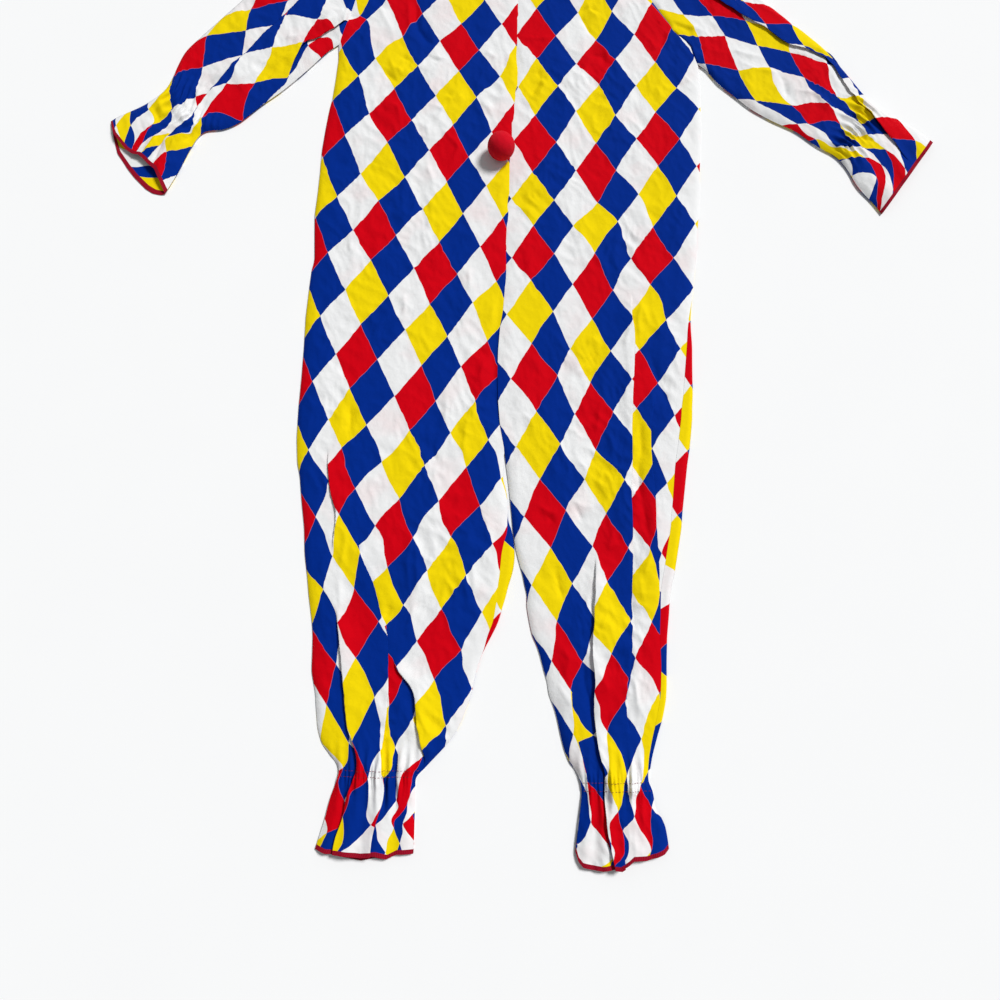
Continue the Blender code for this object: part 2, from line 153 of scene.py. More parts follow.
# ---- Folds: cloth laid over itself. lap 1 has the right side on top, -1 the left side. ----
# path is (x, y, hidden width) down the edge of the upper layer.
Fold = namedtuple("Fold", "height lap path")
BODY_FOLDS = {
    "left": (
        Fold(3.5, 1, (
            (-264, 80, 0), (-263, 60, 10), (-260, 35, 22), (-256, 10, 28), (-247, -15, 28), (-246, -35, 22),
            (-250, -55, 10), (-250, -75, 0),
        )),
        Fold(6.0, 1, (
            (-240, -165, 0), (-237, -180, 8), (-233, -205, 22), (-228, -240, 32), (-222, -290, 34),
            (-216, -330, 34), (-206, -347, 36), (-201, -361, 38), (-200.6, -371, 40), (-202, -381, 40),
            (-204, -391, 40), (-206, -401, 40), (-210.5, -412, 40), (-215, -422, 38), (-216, -440, 36),
            (-219, -449, 34), (-224, -459, 34), (-227.5, -469.5, 32), (-229, -478, 30), (-231, -500, 30),
        )),
        Fold(4.5, -1, (
            (-212, -55, 0), (-207, -70, 10), (-203, -85, 20), (-195, -102, 30), (-184, -122, 40),
            (-178, -142, 44), (-173, -162, 50), (-168, -180, 54), (-160, -197, 58), (-159, -215, 62),
            (-158, -240, 66), (-157.5, -256, 50), (-157, -270, 42), (-158, -300, 42), (-161, -340, 42),
            (-164, -370, 44), (-163, -385, 44), (-161, -394, 44), (-158.6, -405, 44), (-158.6, -418, 40),
            (-161, -429, 34), (-166, -440, 26), (-170, -452, 16), (-174, -466, 8), (-175, -480, 18),
            (-175, -500, 30),
        )),
        Fold(5.5, 1, (
            (-156, -234, 0), (-150, -247, 12), (-140, -258, 20), (-130, -267, 24), (-123, -280, 24),
            (-121, -300, 22), (-119, -325, 20), (-113, -345, 16), (-108, -365, 10), (-105, -382, 0),
        )),
    ),
    "right": (
        Fold(4.0, -1, (
            (104, -262, 0), (104, -280, 10), (103, -300, 18), (106, -320, 26), (109, -337, 28),
            (113, -355, 26), (119, -372, 22), (121, -395, 20), (124, -420, 10), (126, -440, 0),
        )),
        Fold(6.0, 1, (
            (140, -85, 0), (139, -100, 6), (138, -124, 14), (136, -158, 16), (134, -190, 22), (131, -215, 26),
            (131, -235, 26), (134, -255, 24), (134, -275, 28), (132, -290, 36), (131, -310, 42),
            (134, -337, 48), (137, -360, 48), (144, -382, 44), (143, -400, 38), (143, -430, 30),
            (146, -455, 24), (153, -480, 20), (160, -512, 14),
        )),
        Fold(3.0, -1, ((170, -462, 0), (170.5, -475, 8), (171, -490, 18), (171, -505, 28), (171, -516, 32))),
        Fold(4.0, -1, (
            (212, 335, 0), (211, 318, 8), (209, 300, 16), (213, 280, 24), (213, 245, 28), (211, 215, 28),
            (207, 170, 30), (205, 140, 32), (203, 100, 33), (202, 60, 33), (199, 15, 34), (199, -40, 33),
            (198, -85, 32), (195, -120, 34), (193, -150, 34), (195, -175, 33), (192, -200, 30),
            (190, -235, 26), (187, -262, 24), (181, -280, 18), (180, -310, 10), (184, -335, 0),
        )),
        Fold(4.0, -1, (
            (243, 175, 0), (238, 140, 8), (232, 115, 12), (231, 75, 14), (234, 30, 18), (235, 0, 22),
            (234, -40, 26), (236, -80, 28), (236, -110, 20), (235, -135, 8), (234, -155, 0),
        )),
    ),
}
# Corners of the print. Those that a fold hides, past the cloth's end or outside the photograph are inferred.
# Most are listed down a column: (column, first row, then each x and y), two rows apart.
BODY_COLUMNS = {
    "left": (
        (-3, 0, (-243, 864), (-272, 799), (-283, 695), (-296, 585), (-302, 475)),
        (
            -2, -1, (-232, 856), (-242, 741), (-259, 627), (-268, 511), (-278, 410), (-285, 299), (-291, 190),
            (-292, 80), (-275, -25), (-259, -133), (-236, -239), (-212, -347), (-216, -424),
        ),
        (
            -1, 0, (-199, 896), (-214, 776), (-220, 667), (-230, 554), (-239, 450), (-248, 344), (-257, 234),
            (-263, 128),
        ),
        (
            0, -1, (-169, 820), (-180, 716), (-188, 611), (-199, 502), (-208, 395), (-220, 284), (-233, 178),
            (-240, 82), (-240, -22), (-214, -130), (-206, -231), (-206, -344), (-216, -444),
        ),
        (
            1, 0, (-135, 868), (-141, 760), (-149, 655), (-157, 547), (-168, 440), (-178, 334), (-192, 226),
            (-205, 119), (-219, 18), (-205, -78), (-175, -179), (-178, -286), (-182, -394), (-223, -492),
        ),
        (
            2, -1, (-103, 812), (-110, 702), (-118, 598), (-128, 489), (-138, 382), (-150, 275), (-163, 166),
            (-180, 60),
        ),
        (
            3, 0, (-67, 846), (-71, 752), (-79, 645), (-88, 538), (-99, 428), (-111, 319), (-123, 216),
            (-138, 110), (-152, 3), (-167, -101), (-164, -183), (-157, -297), (-162, -393), (-173.5, -467),
        ),
        (
            4, -1, (-36, 794), (-40, 699), (-52, 585), (-61, 480), (-70, 371), (-83, 265), (-99, 158),
            (-115, 54), (-126, -56), (-140, -156), (-151, -243), (-147, -354), (-168, -456),
        ),
        (
            5, 0, (3, 847), (-1, 740), (-13, 634), (-23, 531), (-32, 421), (-44, 322), (-61, 214), (-76, 107),
            (-92, -1), (-107, -104), (-121, -207), (-122, -314), (-143.5, -424), (-161, -490),
        ),
        (
            6, -9, (-6, 360), (-20, 258), (-39, 158), (-51, 53), (-70, -55), (-85, -161), (-94, -262),
            (-108, -367), (-143, -460),
        ),
        (7, -14, (-18, 96), (-30, -8), (-49, -112), (-57, -220), (-77, -325), (-125, -418), (-140, -480)),
        (8, -15, (1, 36), (-10, -65), (-25, -166), (-40, -274)),
    ),
    "right": (
        (
            -1, 0, (27, 823), (31, 720), (23, 615), (19, 508), (18, 401), (11, 302), (17, 195), (24, 85),
            (36, -24), (47, -126), (74, -235), (103, -335), (125, -452), (110, -530),
        ),
        (
            0, 1, (64, 878), (63, 776), (59, 665), (54, 556), (54, 458), (50, 360), (49, 253), (56, 142),
            (60, 34), (75, -71), (83, -179), (101, -275), (117, -368), (154, -498),
        ),
        (
            1, 0, (96, 821), (98, 722), (93, 612), (88, 504), (87, 408), (84, 308), (89, 199), (92, 89),
            (98, -15), (107, -124), (119, -236), (130, -337),
        ),
        (
            2, 1, (135, 872), (131, 768), (129, 673), (126, 559), (119, 457), (116, 354), (110, 244),
            (116, 137), (127, 33), (136, -69),
        ),
        (
            3, 0, (166, 814), (167, 724), (160, 610), (160, 500), (153, 409), (146, 295), (140, 189),
            (146, 81), (158, -20), (157, -121), (159, -225), (150, -333), (167, -437), (166, -513),
        ),
        (
            4, 1, (195, 871), (197, 773), (195, 663), (192, 560), (192, 467), (180, 344), (173, 240),
            (175, 140), (187, 32), (190, -71), (190, -178), (176, -290), (176, -391), (170, -464),
        ),
        (5, 0, (232, 826), (231, 722), (228, 619), (228, 517), (210, 400)),
        (5, -22, (199, -343), (186, -443), (180, -520)),
        (
            6, 1, (264, 888), (265, 768), (263, 670), (262, 568), (249, 455), (241, 354), (218, 243),
            (210, 145), (216, 30), (222, -73), (221, -178), (227, -281), (196, -404), (201, -490),
        ),
        (7, 0, (298, 840), (300, 718), (300, 619), (290, 513), (280, 400), (263, 292), (246, 189)),
        (
            8, -1, (335, 783), (337, 679), (327, 568), (319, 463), (310, 352), (283, 244), (269, 135),
            (252, 27), (239, -79),
        ),
    ),
}
# The rest are (column, row, x, y). A fifth number is how far in under the fold beside it one lies.
BODY_CORNERS = {
    "left": (
        (-1, -18, -247, -83), (-1, -20, -236, -181), (6, -1, 27, 803), (6, -3, 24, 690), (-4, -1, -284, 858),
        (-4, 1, -258, 935), (-3, -24, -220, -382), (-3, -26, -239, -467), (-4, -25, -243, -448),
        (2, -25, -177, -455), (3.5, -20.5, -158, -214, -8), (1.4, -20.4, -161, -200),
        (3.5, -23.5, -151, -383), (4.5, -23.5, -143, -386), (4.5, -25.5, -167, -470),
        (-2.5, -24.5, -225, -400), (-1.5, -24.5, -212, -414, 6), (-2.5, -25.5, -222, -452, 8),
        (2, -23, -166, -356), (2.5, -24.5, -162, -425, 6), (3.5, -24.5, -158, -425, -6),
        (4.5, -24.5, -155, -444), (5.5, -24.5, -143, -441), (6.5, -24.5, -131, -436),
        (5.5, -23.5, -135, -390), (0.5, -24.5, -203, -410), (8, -25, -131, -453), (2.6, -26.4, -176, -487, 8),
        (3.4, -26.4, -174, -487, -8), (9, -24, -119, -442), (9, -26, -112, -484), (-2.5, -18.5, -281, -110),
    ),
    "right": (
        (-0.5, -23.5, 118.5, -395, 5), (0.5, -23.5, 122, -398, -2), (1.5, -23.5, 144, -409, -20),
        (-1.5, -25.5, 98, -500), (8, -25, 240, -460), (-2, -25, 107, -480), (-2, -23, 98, -372),
        (1, -24, 142, -430, 6), (3.5, -25.5, 169.5, -488, 4), (-1.5, -23.5, 121, -416),
        (-1.5, -24.5, 118, -469), (2, -23, 148, -388), (2, -25, 153.5, -478), (7, -24, 211, -433),
        (2.5, -21.5, 142, -300), (6.5, -16.5, 230, -48), (6.7, -16, 233.5, -12),
    ),
}
# The backs' print, carried round from the strips that roll into view. Corners away from those are guesses.
BACK_PRINT = {
    "left": (
        (0, -2, 22, -112), (0, -4, -16, -216), (9, -2, -284, -112), (9, -4, -322, -216), (0, 14, 22, 736),
        (9, 14, -284, 736), (0, -8, -40, -428),
    ),
    "right": (
        (0, 0, 304, 238), (0, -2, 303, 130), (0, -4, 285, 28), (0, -6, 270, -73), (-0.6, -7, 250, -130),
        (0, -8, 250, -182), (0.6, -9, 242, -235), (0, -10, 242, -288), (0.6, -11, 232, -345), (9, 0, -2, 238),
        (9, -6, -38, -78), (9, -10, -66, -290), (0, 10, 304, 768), (9, 10, -2, 768),
    ),
}

# ---- Sleeves: rows from the fold on top to the underarm seam, armhole to hem ----
SLEEVE_ROWS = {
    "left": (
        (-304, 1017, -300, 790), (-370, 975, -322, 765), (-425, 930, -343, 742), (-470, 878, -372, 713),
        (-512, 830, -405, 686), (-544, 793, -440, 651), (-558, 750, -472, 636), (-565, 722, -495, 641),
        (-571, 714, -503, 632), (-600, 688, -516, 608), (-628, 673, -528, 575), (-647, 664, -540, 545),
        (-657, 655, -553, 519),
    ),
    "right": (
        (330, 1017, 352, 758), (394, 975, 372, 728), (440, 925, 396, 706), (480, 878, 425, 678),
        (524, 836, 460, 655), (560, 799, 498, 636), (590, 754, 530, 607), (626, 695, 560, 589),
        (633, 685, 568, 580), (656, 668, 580, 560), (684, 652, 590, 530), (708, 634, 613, 503),
        (726, 615, 626, 481),
    ),
}
ARMHOLE = {
    "left": ((-226, 1045), (-231, 1000), (-242, 950), (-255, 900), (-267, 856), (-280, 812)),
    "right": (
        (262, 1045), (256, 1005), (255, 955), (264, 900), (283, 868), (298, 845), (301, 836), (310, 825),
        (322, 815), (331, 803), (335, 787), (341, 772),
    ),
}
SLEEVE_TURN = {"left": math.radians(-50), "right": math.radians(50)}
UNDER_FRONT, UNDER_LEVEL = 5.0, 4.1  # how far a sleeve reaches under its front, and how high it lies there
SLEEVE_ELASTIC = (7, 8)  # rows that hold the wrist elastic between them
SLEEVE_FOLDS = {
    "left": (
        Fold(4.0, 1, (
            (-262, 1010, 30), (-320, 930, 60), (-393, 841, 66), (-411, 820, 64), (-439, 781, 62),
            (-454, 764, 60), (-479, 728, 56), (-498, 701, 50), (-508, 680, 44), (-520, 652, 38),
            (-530, 642, 34), (-545, 631, 32), (-557, 617, 30), (-570, 600, 30), (-582, 585, 28),
            (-590, 577, 26), (-600, 560, 20),
        )),
        Fold(3.5, -1, (
            (-262, 862, 60), (-275, 850, 60), (-290, 835, 60), (-316, 812, 58), (-337, 802, 50),
            (-345, 783, 34), (-352, 765, 18), (-359, 742, 6), (-366, 728, 0),
        )),
    ),
    "right": (
        Fold(4.0, 1, (
            (300, 960, 10), (360, 905, 20), (430, 850, 40), (459, 834, 46), (476, 816, 48), (496, 798, 46),
            (524, 792, 44), (549, 781, 44), (563, 768, 44), (574, 749, 46), (586, 720, 46), (600, 690, 40),
            (625, 650, 30), (660, 600, 12), (680, 570, 0),
        )),
    ),
}
# Corners as for the body. Those outside the photograph are guesses.
SLEEVE_PRINT = {
    "left": (
        (-2, -1, -372, 861), (-1, -2, -390, 794), (0, -3, -417, 725), (1, -2, -359, 740), (-1, -4, -464, 722),
        (1, -4, -434, 656), (0, -5, -499, 656), (-5, -2, -440, 831), (-6, -1, -435, 876), (-6, -3, -506, 823),
        (-5, -4, -508, 757), (-4, -3, -442, 781), (-6, -5, -557, 740), (-7, -2, -482, 866),
        (-5, -6, -554, 671), (0, 3, -170, 990), (-6, 3, -250, 1060), (-1, 0, -318, 855), (0, 1, -270, 868),
        (0, -1, -339, 805), (2, -1, -331, 801), (3, 0, -272, 848), (1, 0, -296, 832, 14),
        (2.5, -0.5, -298, 824, -10), (3, -2, -304, 775), (2, -3, -395, 692), (-4, -5, -515, 698),
        (-6, -7, -582, 643), (-7, -6, -592, 673), (-7, -8, -616, 592), (-8, -7, -619, 643),
        (-5, -8, -598, 607), (-4, -7, -579, 622), (-3, -6, -528, 643), (-3, -8, -600, 584),
        (-1, -6, -548, 619), (0, -7, -552, 589), (1, -6, -514, 609), (1, -8, -563, 532), (-1, -8, -577, 566),
        (2, -7, -530, 558),
    ),
    "right": (
        (0, -1, 343, 819), (-1, 0, 388, 821), (0, 1, 407, 752), (1, 0, 352, 765), (-2, 1, 444, 801),
        (-1, 2, 460, 757), (0, 3, 491, 682), (1, 2, 433, 692), (-2, 3, 518, 735), (-1, 4, 556, 682),
        (0, 5, 571, 645), (1, 4, 518, 647), (-3, 0, 426, 851), (-3, 2, 498, 787), (-3, 4, 571, 700),
        (-4, 3, 560, 765), (-4, 5, 608, 701), (-2, 5, 602, 644), (-3, 6, 626, 650), (-5, 0, 459, 842),
        (-5, 2, 522, 798), (-6, 1, 505, 843), (-6, 3, 583, 775), (-7, 2, 532, 833), (-6, -3, 330, 960),
        (0, -5, 200, 960), (2, 3, 499, 647), (2, 5, 560, 600), (3, 4, 528, 618), (-1, 6, 613, 623),
        (1, 6, 605, 598), (3, 6, 603, 580), (4, 5, 576, 580), (5, 6, 584, 552), (4, 7, 620, 545),
        (-3, 8, 690, 612), (-5, 6, 650, 700), (-1, 8, 668, 560), (1, 8, 645, 520),
    ),
}

# The left cuff's hem from the top fold to the underarm seam, the layer on top and the one below.
SLEEVE_HEM = {
    "top": (
        (-657, 655), (-645, 625), (-624.5, 599), (-612, 590), (-600.7, 587), (-592, 579), (-582, 568.5),
        (-570, 558), (-561.6, 539.6), (-553, 519),
    ),
    "below": (
        (-657, 655), (-650, 625), (-640, 595), (-622, 568.5), (-607.5, 550), (-587, 529), (-575, 521),
        (-561.6, 517.5), (-553, 519),
    ),
}

# ---- Creases: the paths of each (height, reach). A negative height is a trough. ----
CREASES = {
    "front_left": {
        (-5.0, 6): [((-147, 895), (-147, 860), (-143, 838), (-125, 812), (-108, 803))],
        (3.2, 6): [((-160, 890), (-155, 830))],
        (2.8, 5): [
            ((-130, 785), (-85, 770)), ((-180, 760), (-165, 745), (-150, 757)),
            ((-95, 700), (-75, 695), (-60, 705)), ((-122, 689), (-96, 676), (-109, 649)),
            ((-268, 780), (-262, 740), (-255, 720)), ((-96, 636), (-69, 603), (-82, 570)),
            ((-126, -53), (-120, -138)),
        ],
        (-2.8, 4): [
            ((-132, 788), (-109, 773), (-86, 771)), ((-175, 784), (-155, 771), (-158, 755)),
            ((-198, 751), (-175, 728)), ((-267, 758), (-257, 722)),
        ],
        (2.4, 5): [
            ((-190, 780), (-175, 730)), ((-125, 649), (-119, 620)), ((-175, 690), (-165, 640)),
            ((-9, 324), (-14, 290)), ((-24, 222), (-34, 188)),
        ],
        (2.0, 6): [((-211, 880), (-181, 821))],
        (-2.4, 4): [((-92, 712), (-76, 689))],
        (2.6, 5): [
            ((-195, 672), (-175, 689)), ((-33, 695), (-13, 669)), ((-26, 791), (-3, 775)),
            ((-122, 570), (-109, 537)), ((-50, 382), (-48, 341)), ((-153, 341), (-150, 297)),
            ((-85, 175), (-82, 148), (-85, 114)), ((-51, 134), (-55, 73)),
            ((-228, -42), (-232, -83), (-237, -104)), ((-237, -110), (-233, -158), (-237, -178)),
            ((-130, -53), (-137, -90), (-133, -138)), ((-120, -138), (-133, -185)),
        ],
        (-4.5, 5): [((-292, 837), (-270, 864), (-241, 860))],
        (-5.0, 7): [((1, 345), (-5, 270), (-9, 202), (-4, 144), (3, 73))],
        (-3.0, 5): [((-231, 148), (-231, 107))],
        (-2.8, 5): [((-160, -155), (-167, -175))],
        (4.0, 5): [
            ((-197, -350), (-190, -375), (-195, -400), (-208, -425), (-214, -440)),
            ((-172, -370), (-170, -440)), ((-155, -345), (-150, -380), (-152, -430)),
        ],
        (3.0, 4): [((-135, -350), (-140, -385)), ((-130, -385), (-135, -430))],
        (2.6, 4): [((-121, -400), (-121, -440))],
        (-4.5, 4): [
            ((-181, -375), (-181, -420)), ((-158, -390), (-161, -440)),
            ((-146, -360), (-146, -400), (-143, -440)),
        ],
        (-4.0, 4): [((-125, -395), (-125, -440))],
    },
    "front_right": {
        (3.0, 6): [((150, 893), (160, 868), (175, 855))],
        (-2.8, 4): [
            ((136, 868), (154, 879), (171, 872)), ((140, 865), (161, 819)),
            ((154, 784), (175, 781), (185, 767)), ((63, 756), (70, 735), (84, 739)),
            ((153, -307), (150, -352)),
        ],
        (2.8, 5): [
            ((165, 808), (180, 795), (185, 780)), ((65, 750), (75, 720), (60, 690)),
            ((156, 50), (150, 29), (165, 14)), ((105, 2), (129, -10), (144, -7)),
            ((171, -40), (162, -70), (180, -64)), ((204, -115), (210, -148)), ((222, -88), (210, -112)),
            ((192, -250), (195, -295), (210, -325)),
        ],
        (2.6, 5): [
            ((255, 820), (270, 790)), ((273, 847), (287, 858)), ((136, 746), (150, 725)),
            ((266, 725), (273, 690)), ((42, 819), (70, 816), (91, 819)), ((315, 739), (336, 718)),
            ((143, 263), (157, 250)), ((194, 246), (208, 287)), ((157, 161), (146, 100)),
            ((60, -10), (78, -19), (87, -13)), ((144, -190), (159, -169)), ((141, -250), (156, -280)),
        ],
        (-2.8, 5): [((287, 830), (276, 795)), ((252, 202), (262, 168)), ((192, -136), (195, -190))],
        (-2.6, 4): [((52, 704), (70, 732)), ((114, -10), (123, -31)), ((72, -22), (81, -34))],
        (3.2, 5): [((225, 321), (218, 290), (221, 263)), ((225, 321), (235, 284))],
        (-3.0, 4): [((119, 205), (160, 246))],
        (-3.0, 5): [((235, 236), (245, 195), (262, 148))],
        (-3.4, 5): [((214, 124), (216, 63))],
        (-4.0, 5): [
            ((81, -106), (87, -130), (93, -148)), ((213, 74), (210, 50), (210, 20), (216, -19), (222, -64)),
        ],
        (2.8, 6): [((90, -214), (99, -232), (93, -259)), ((81, -265), (102, -301))],
        (-4.5, 6): [((120, -220), (120, -265), (129, -295), (132, -340))],
        (4.8, 6): [((158, -385), (158, -435))],
        (4.4, 6): [((183, -388), (183, -422))],
        (4.0, 5): [((197, -405), (197, -470))],
        (-4.5, 4): [
            ((143, -385), (143, -435)), ((150, -385), (150, -435)), ((171, -385), (171, -435)),
            ((195, -385), (195, -435)),
        ],
    },
    "sleeve_left": {
        (-4.5, 5): [((-268, 857), (-290, 835), (-318, 812))],
        (3.4, 5): [((-276, 866), (-300, 845), (-338, 812))],
        (2.8, 4): [((-373, 814), (-343, 818), (-356, 801)), ((-390, 758), (-373, 775), (-352, 788))],
        (-2.8, 4): [
            ((-403, 732), (-382, 758)), ((-425, 749), (-399, 775), (-382, 788)), ((-506, 715), (-485, 728)),
        ],
        (3.0, 5): [((-498, 728), (-459, 758), (-442, 771))],
        (2.6, 5): [((-442, 730), (-425, 741), (-408, 754))],
        (4.5, 6): [((-571, 711), (-575, 685), (-562, 659))],
        (-4.5, 4): [((-558, 706), (-554, 668))],
        (-4.0, 4): [
            ((-584, 676), (-571, 651)), ((-515, 694), (-524, 659)), ((-494, 698), (-506, 651), (-515, 642)),
            ((-511, 642), (-528, 608)), ((-558, 620), (-575, 573)),
        ],
        (4.0, 5): [((-537, 668), (-528, 646), (-549, 633)), ((-519, 633), (-541, 608), (-549, 590))],
        (3.2, 5): [((-571, 625), (-592, 590))],
    },
    "sleeve_right": {
        (3.0, 6): [((291, 855), (350, 829))],
        (-4.0, 5): [((298, 851), (331, 829))],
        (2.4, 6): [((439, 891), (505, 846))],
        (2.6, 5): [((397, 792), (425, 782), (449, 778))],
        (2.8, 5): [((416, 740), (434, 754), (477, 745)), ((505, 712), (533, 703), (552, 684))],
        (-3.2, 5): [((477, 750), (491, 693)), ((524, 797), (575, 773), (590, 759))],
        (3.2, 5): [((571, 665), (608, 627), (622, 595))],
        (-3.2, 4): [((594, 627), (622, 609))],
        (-2.8, 5): [((505, 782), (533, 778), (561, 764))],
        (4.0, 5): [((560, 598), (572, 604), (585, 603), (597, 596), (607, 585), (617, 570))],
    },
}
# ---- Stitching that holds the ankle elastics, two rows of dashes across each front ----
STITCH_ROWS = {"left": (-385.0, -393.0), "right": (-402.0, -413.0)}
STITCH_LONG, STITCH_PITCH, STITCH_RADIUS = 4.0, 6.5, 0.35

pompom_middle = Vector((np.array(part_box("pompom")).sum(axis=0) / 2).tolist())
ORIGIN = np.array((pompom_middle.x - POMPOM_X * MM, pompom_middle.y - POMPOM_Y * MM, 0.0))


# ---- Small maths ----
def blur(values, reach):
    """values along their first axis, smoothed over reach samples, with the ends held."""
    values = np.asarray(values, float)
    span = int(3 * reach)
    kernel = np.exp(-0.5 * (np.arange(-span, span + 1) / reach) ** 2)
    kernel /= kernel.sum()
    flat = values.reshape(len(values), -1)
    padded = np.concatenate([2 * flat[:1] - flat[span:0:-1], flat, 2 * flat[-1:] - flat[-2 : -span - 2 : -1]])
    out = np.stack([np.convolve(column, kernel, "valid") for column in padded.T], axis=1)
    return out.reshape(values.shape)


def along(table, at):
    """The second number of a table of pairs, read at the first."""
    pairs = np.array(sorted(table), float)
    return np.interp(at, pairs[:, 0], pairs[:, 1])


def step(x):
    x = np.clip(x, 0, 1)
    return x * x * (3 - 2 * x)


def turned(points, angle):
    """Plan points, turned by an angle about the plan's origin."""
    c, s = math.cos(angle), math.sin(angle)
    points = np.asarray(points, float)
    x, y = points[..., 0], points[..., 1]
    return np.stack([c * x - s * y, s * x + c * y], axis=-1)


def lattice_noise(x, y, seed):
    """Smooth gradient noise from about -1 to 1, the same in each run."""
    i, j = np.floor(x).astype(np.int64), np.floor(y).astype(np.int64)
    u, v = x - i, y - j

    def corner(di, dj):
        h = ((i + di) * 374761393 + (j + dj) * 668265263 + seed * 974634777) & 0xFFFFFFFF
        h = ((h ^ (h >> 13)) * 1274126177) & 0xFFFFFFFF
        angle = (h ^ (h >> 16)) / 4294967296.0 * 2 * math.pi
        return np.cos(angle) * (u - di) + np.sin(angle) * (v - dj)

    a, b = u**3 * (u * (6 * u - 15) + 10), v**3 * (v * (6 * v - 15) + 10)
    low = corner(0, 0) * (1 - a) + corner(1, 0) * a
    high = corner(0, 1) * (1 - a) + corner(1, 1) * a
    return (low * (1 - b) + high * b) * 1.5


def spread_print(nodes, places, wanted):
    """Columns and rows of the print at the wanted places, from the corners at given places."""
    scale = 100.0
    p = np.asarray(places, float) / scale
    values = np.asarray(nodes, float)

    def kernel(a, b):
        d = np.maximum(((a[:, None] - b[None]) ** 2).sum(-1), 1e-12)
        return 0.5 * d * np.log(d)

    n = len(p)
    system = np.zeros((n + 3, n + 3))
    system[:n, :n] = kernel(p, p) + np.eye(n) * 2e-4
    system[:n, n:] = np.c_[np.ones(n), p]
    system[n:, :n] = system[:n, n:].T
    weights = np.linalg.solve(system, np.r_[values, np.zeros((3, 2))])
    q = wanted.reshape(-1, 2) / scale
    out = np.concatenate([kernel(part, p) @ weights[:n] for part in np.array_split(q, 40)])
    out += np.c_[np.ones(len(q)), q] @ weights[n:]
    return out.reshape(wanted.shape)


# ---- A panel of cloth, laid with its folds ----
def turned_path(fold, angle):
    """A fold's path, turned back by the angle and sorted up the plan."""
    path = np.array(fold.path, float)
    path[:, :2] = turned(path[:, :2], -angle)
    return path[np.argsort(path[:, 1])]


def bend(u):
    """A rounded ramp, which carries the cloth through the turn of a fold."""
    return u + np.sqrt(u * u + TURN**2)


def crossings(fold, left, right, angle):
    """For each row, how far along it the fold's edge lies, and the width hidden there."""
    path = turned_path(fold, angle)
    run = right - left
    length = np.hypot(run[:, 0], run[:, 1])
    share = np.full(len(left), 0.5)
    for _ in range(4):
        y = left[:, 1] + run[:, 1] * share
        share = np.clip((np.interp(y, path[:, 1], path[:, 0]) - left[:, 0]) / run[:, 0], 0.0, 1.0)
    hidden = np.where((y < path[0, 1]) | (y > path[-1, 1]), 0.0, np.interp(y, path[:, 1], path[:, 2]))
    return blur(share * length, 3), blur(hidden, 3)


def lay(left, right, folds, columns, angle=0.0):
    """A grid of the cloth between two edges. Gives places, fold heights and the places laid open."""
    left, right = turned(left, -angle), turned(right, -angle)
    run = right - left
    length = np.hypot(run[:, 0], run[:, 1])
    found = [(fold, *crossings(fold, left, right, angle)) for fold in folds]
    hidden = sum((item[2] for item in found), np.zeros(len(left)))
    s = np.linspace(0, 1, columns)[None] * (length + hidden)[:, None]
    moved, height = s.copy(), np.zeros_like(s)
    before = np.zeros(len(left))
    for fold, edge, width in found:
        start = (edge + before)[:, None]
        wide = width[:, None]
        first = start + wide / 2 if fold.lap > 0 else start
        last = start + wide if fold.lap > 0 else start + wide / 2
        moved -= bend(s - first) - bend(s - last)
        near, away = (s - first, s - last) if fold.lap > 0 else (last - s, first - s)
        rise = step(near / np.maximum(wide / 2, 5.0))
        lift = fold.height * np.minimum(1, wide / 14)
        height += lift * rise * np.exp(-((np.maximum(away, 0) / (14 + wide * 0.55)) ** 2))
        before = before + width
    ends = moved[:, :1], moved[:, -1:]
    moved = (moved - ends[0]) * length[:, None] / (ends[1] - ends[0])
    places = left[:, None] + (run / length[:, None])[:, None] * moved[..., None]
    open_places = places.copy()
    open_places[..., 0] += s - moved
    return turned(places, angle), height, open_places


def down_columns(table):
    """Corners listed down columns, each as (column, row, x, y)."""
    return [(column, row - 2 * k, *place) for column, row, *places in table for k, place in enumerate(places)]


def print_at(nodes, folds, angle, open_places):
    """The print's column and row at each place, with the nodes moved past the hidden cloth.

    A fifth number moves a corner in under the fold beside it.
    """
    nodes = np.array([(*node, 0.0)[:5] for node in nodes], float)
    places = turned(nodes[:, 2:4], -angle)
    moved = places.copy()
    for fold in folds:
        path = turned_path(fold, angle)
        edge = np.interp(places[:, 1], path[:, 1], path[:, 0])
        hidden = np.interp(places[:, 1], path[:, 1], path[:, 2], left=0, right=0)
        moved[:, 0] += np.where(places[:, 0] > edge, hidden, 0)
    moved[:, 0] += nodes[:, 4]
    return spread_print(nodes[:, :2], moved, open_places)


def crumple(x, y, seed):
    """Uneven creases at four sizes, longer down the cloth than across it, in millimetres of height."""
    wx = x + 9 * lattice_noise(x / 60, y / 60, seed + 1)
    wy = y + 9 * lattice_noise(x / 60, y / 60, seed + 2)
    total = np.zeros_like(x)
    for size, deep, lean in CRUMPLES:
        c, s = math.cos(lean), math.sin(lean)
        u, v = (c * wx + s * wy) / size, (c * wy - s * wx) / (size * 1.9)
        n = lattice_noise(u, v, seed + size)
        total += deep * (0.45 - np.sqrt(n * n + 0.0015)) * 1.5
    calm = 0.6 + 0.6 * lattice_noise(x / 130, y / 130, seed + 7)
    return total * np.clip(calm, 0.35, 1.2)


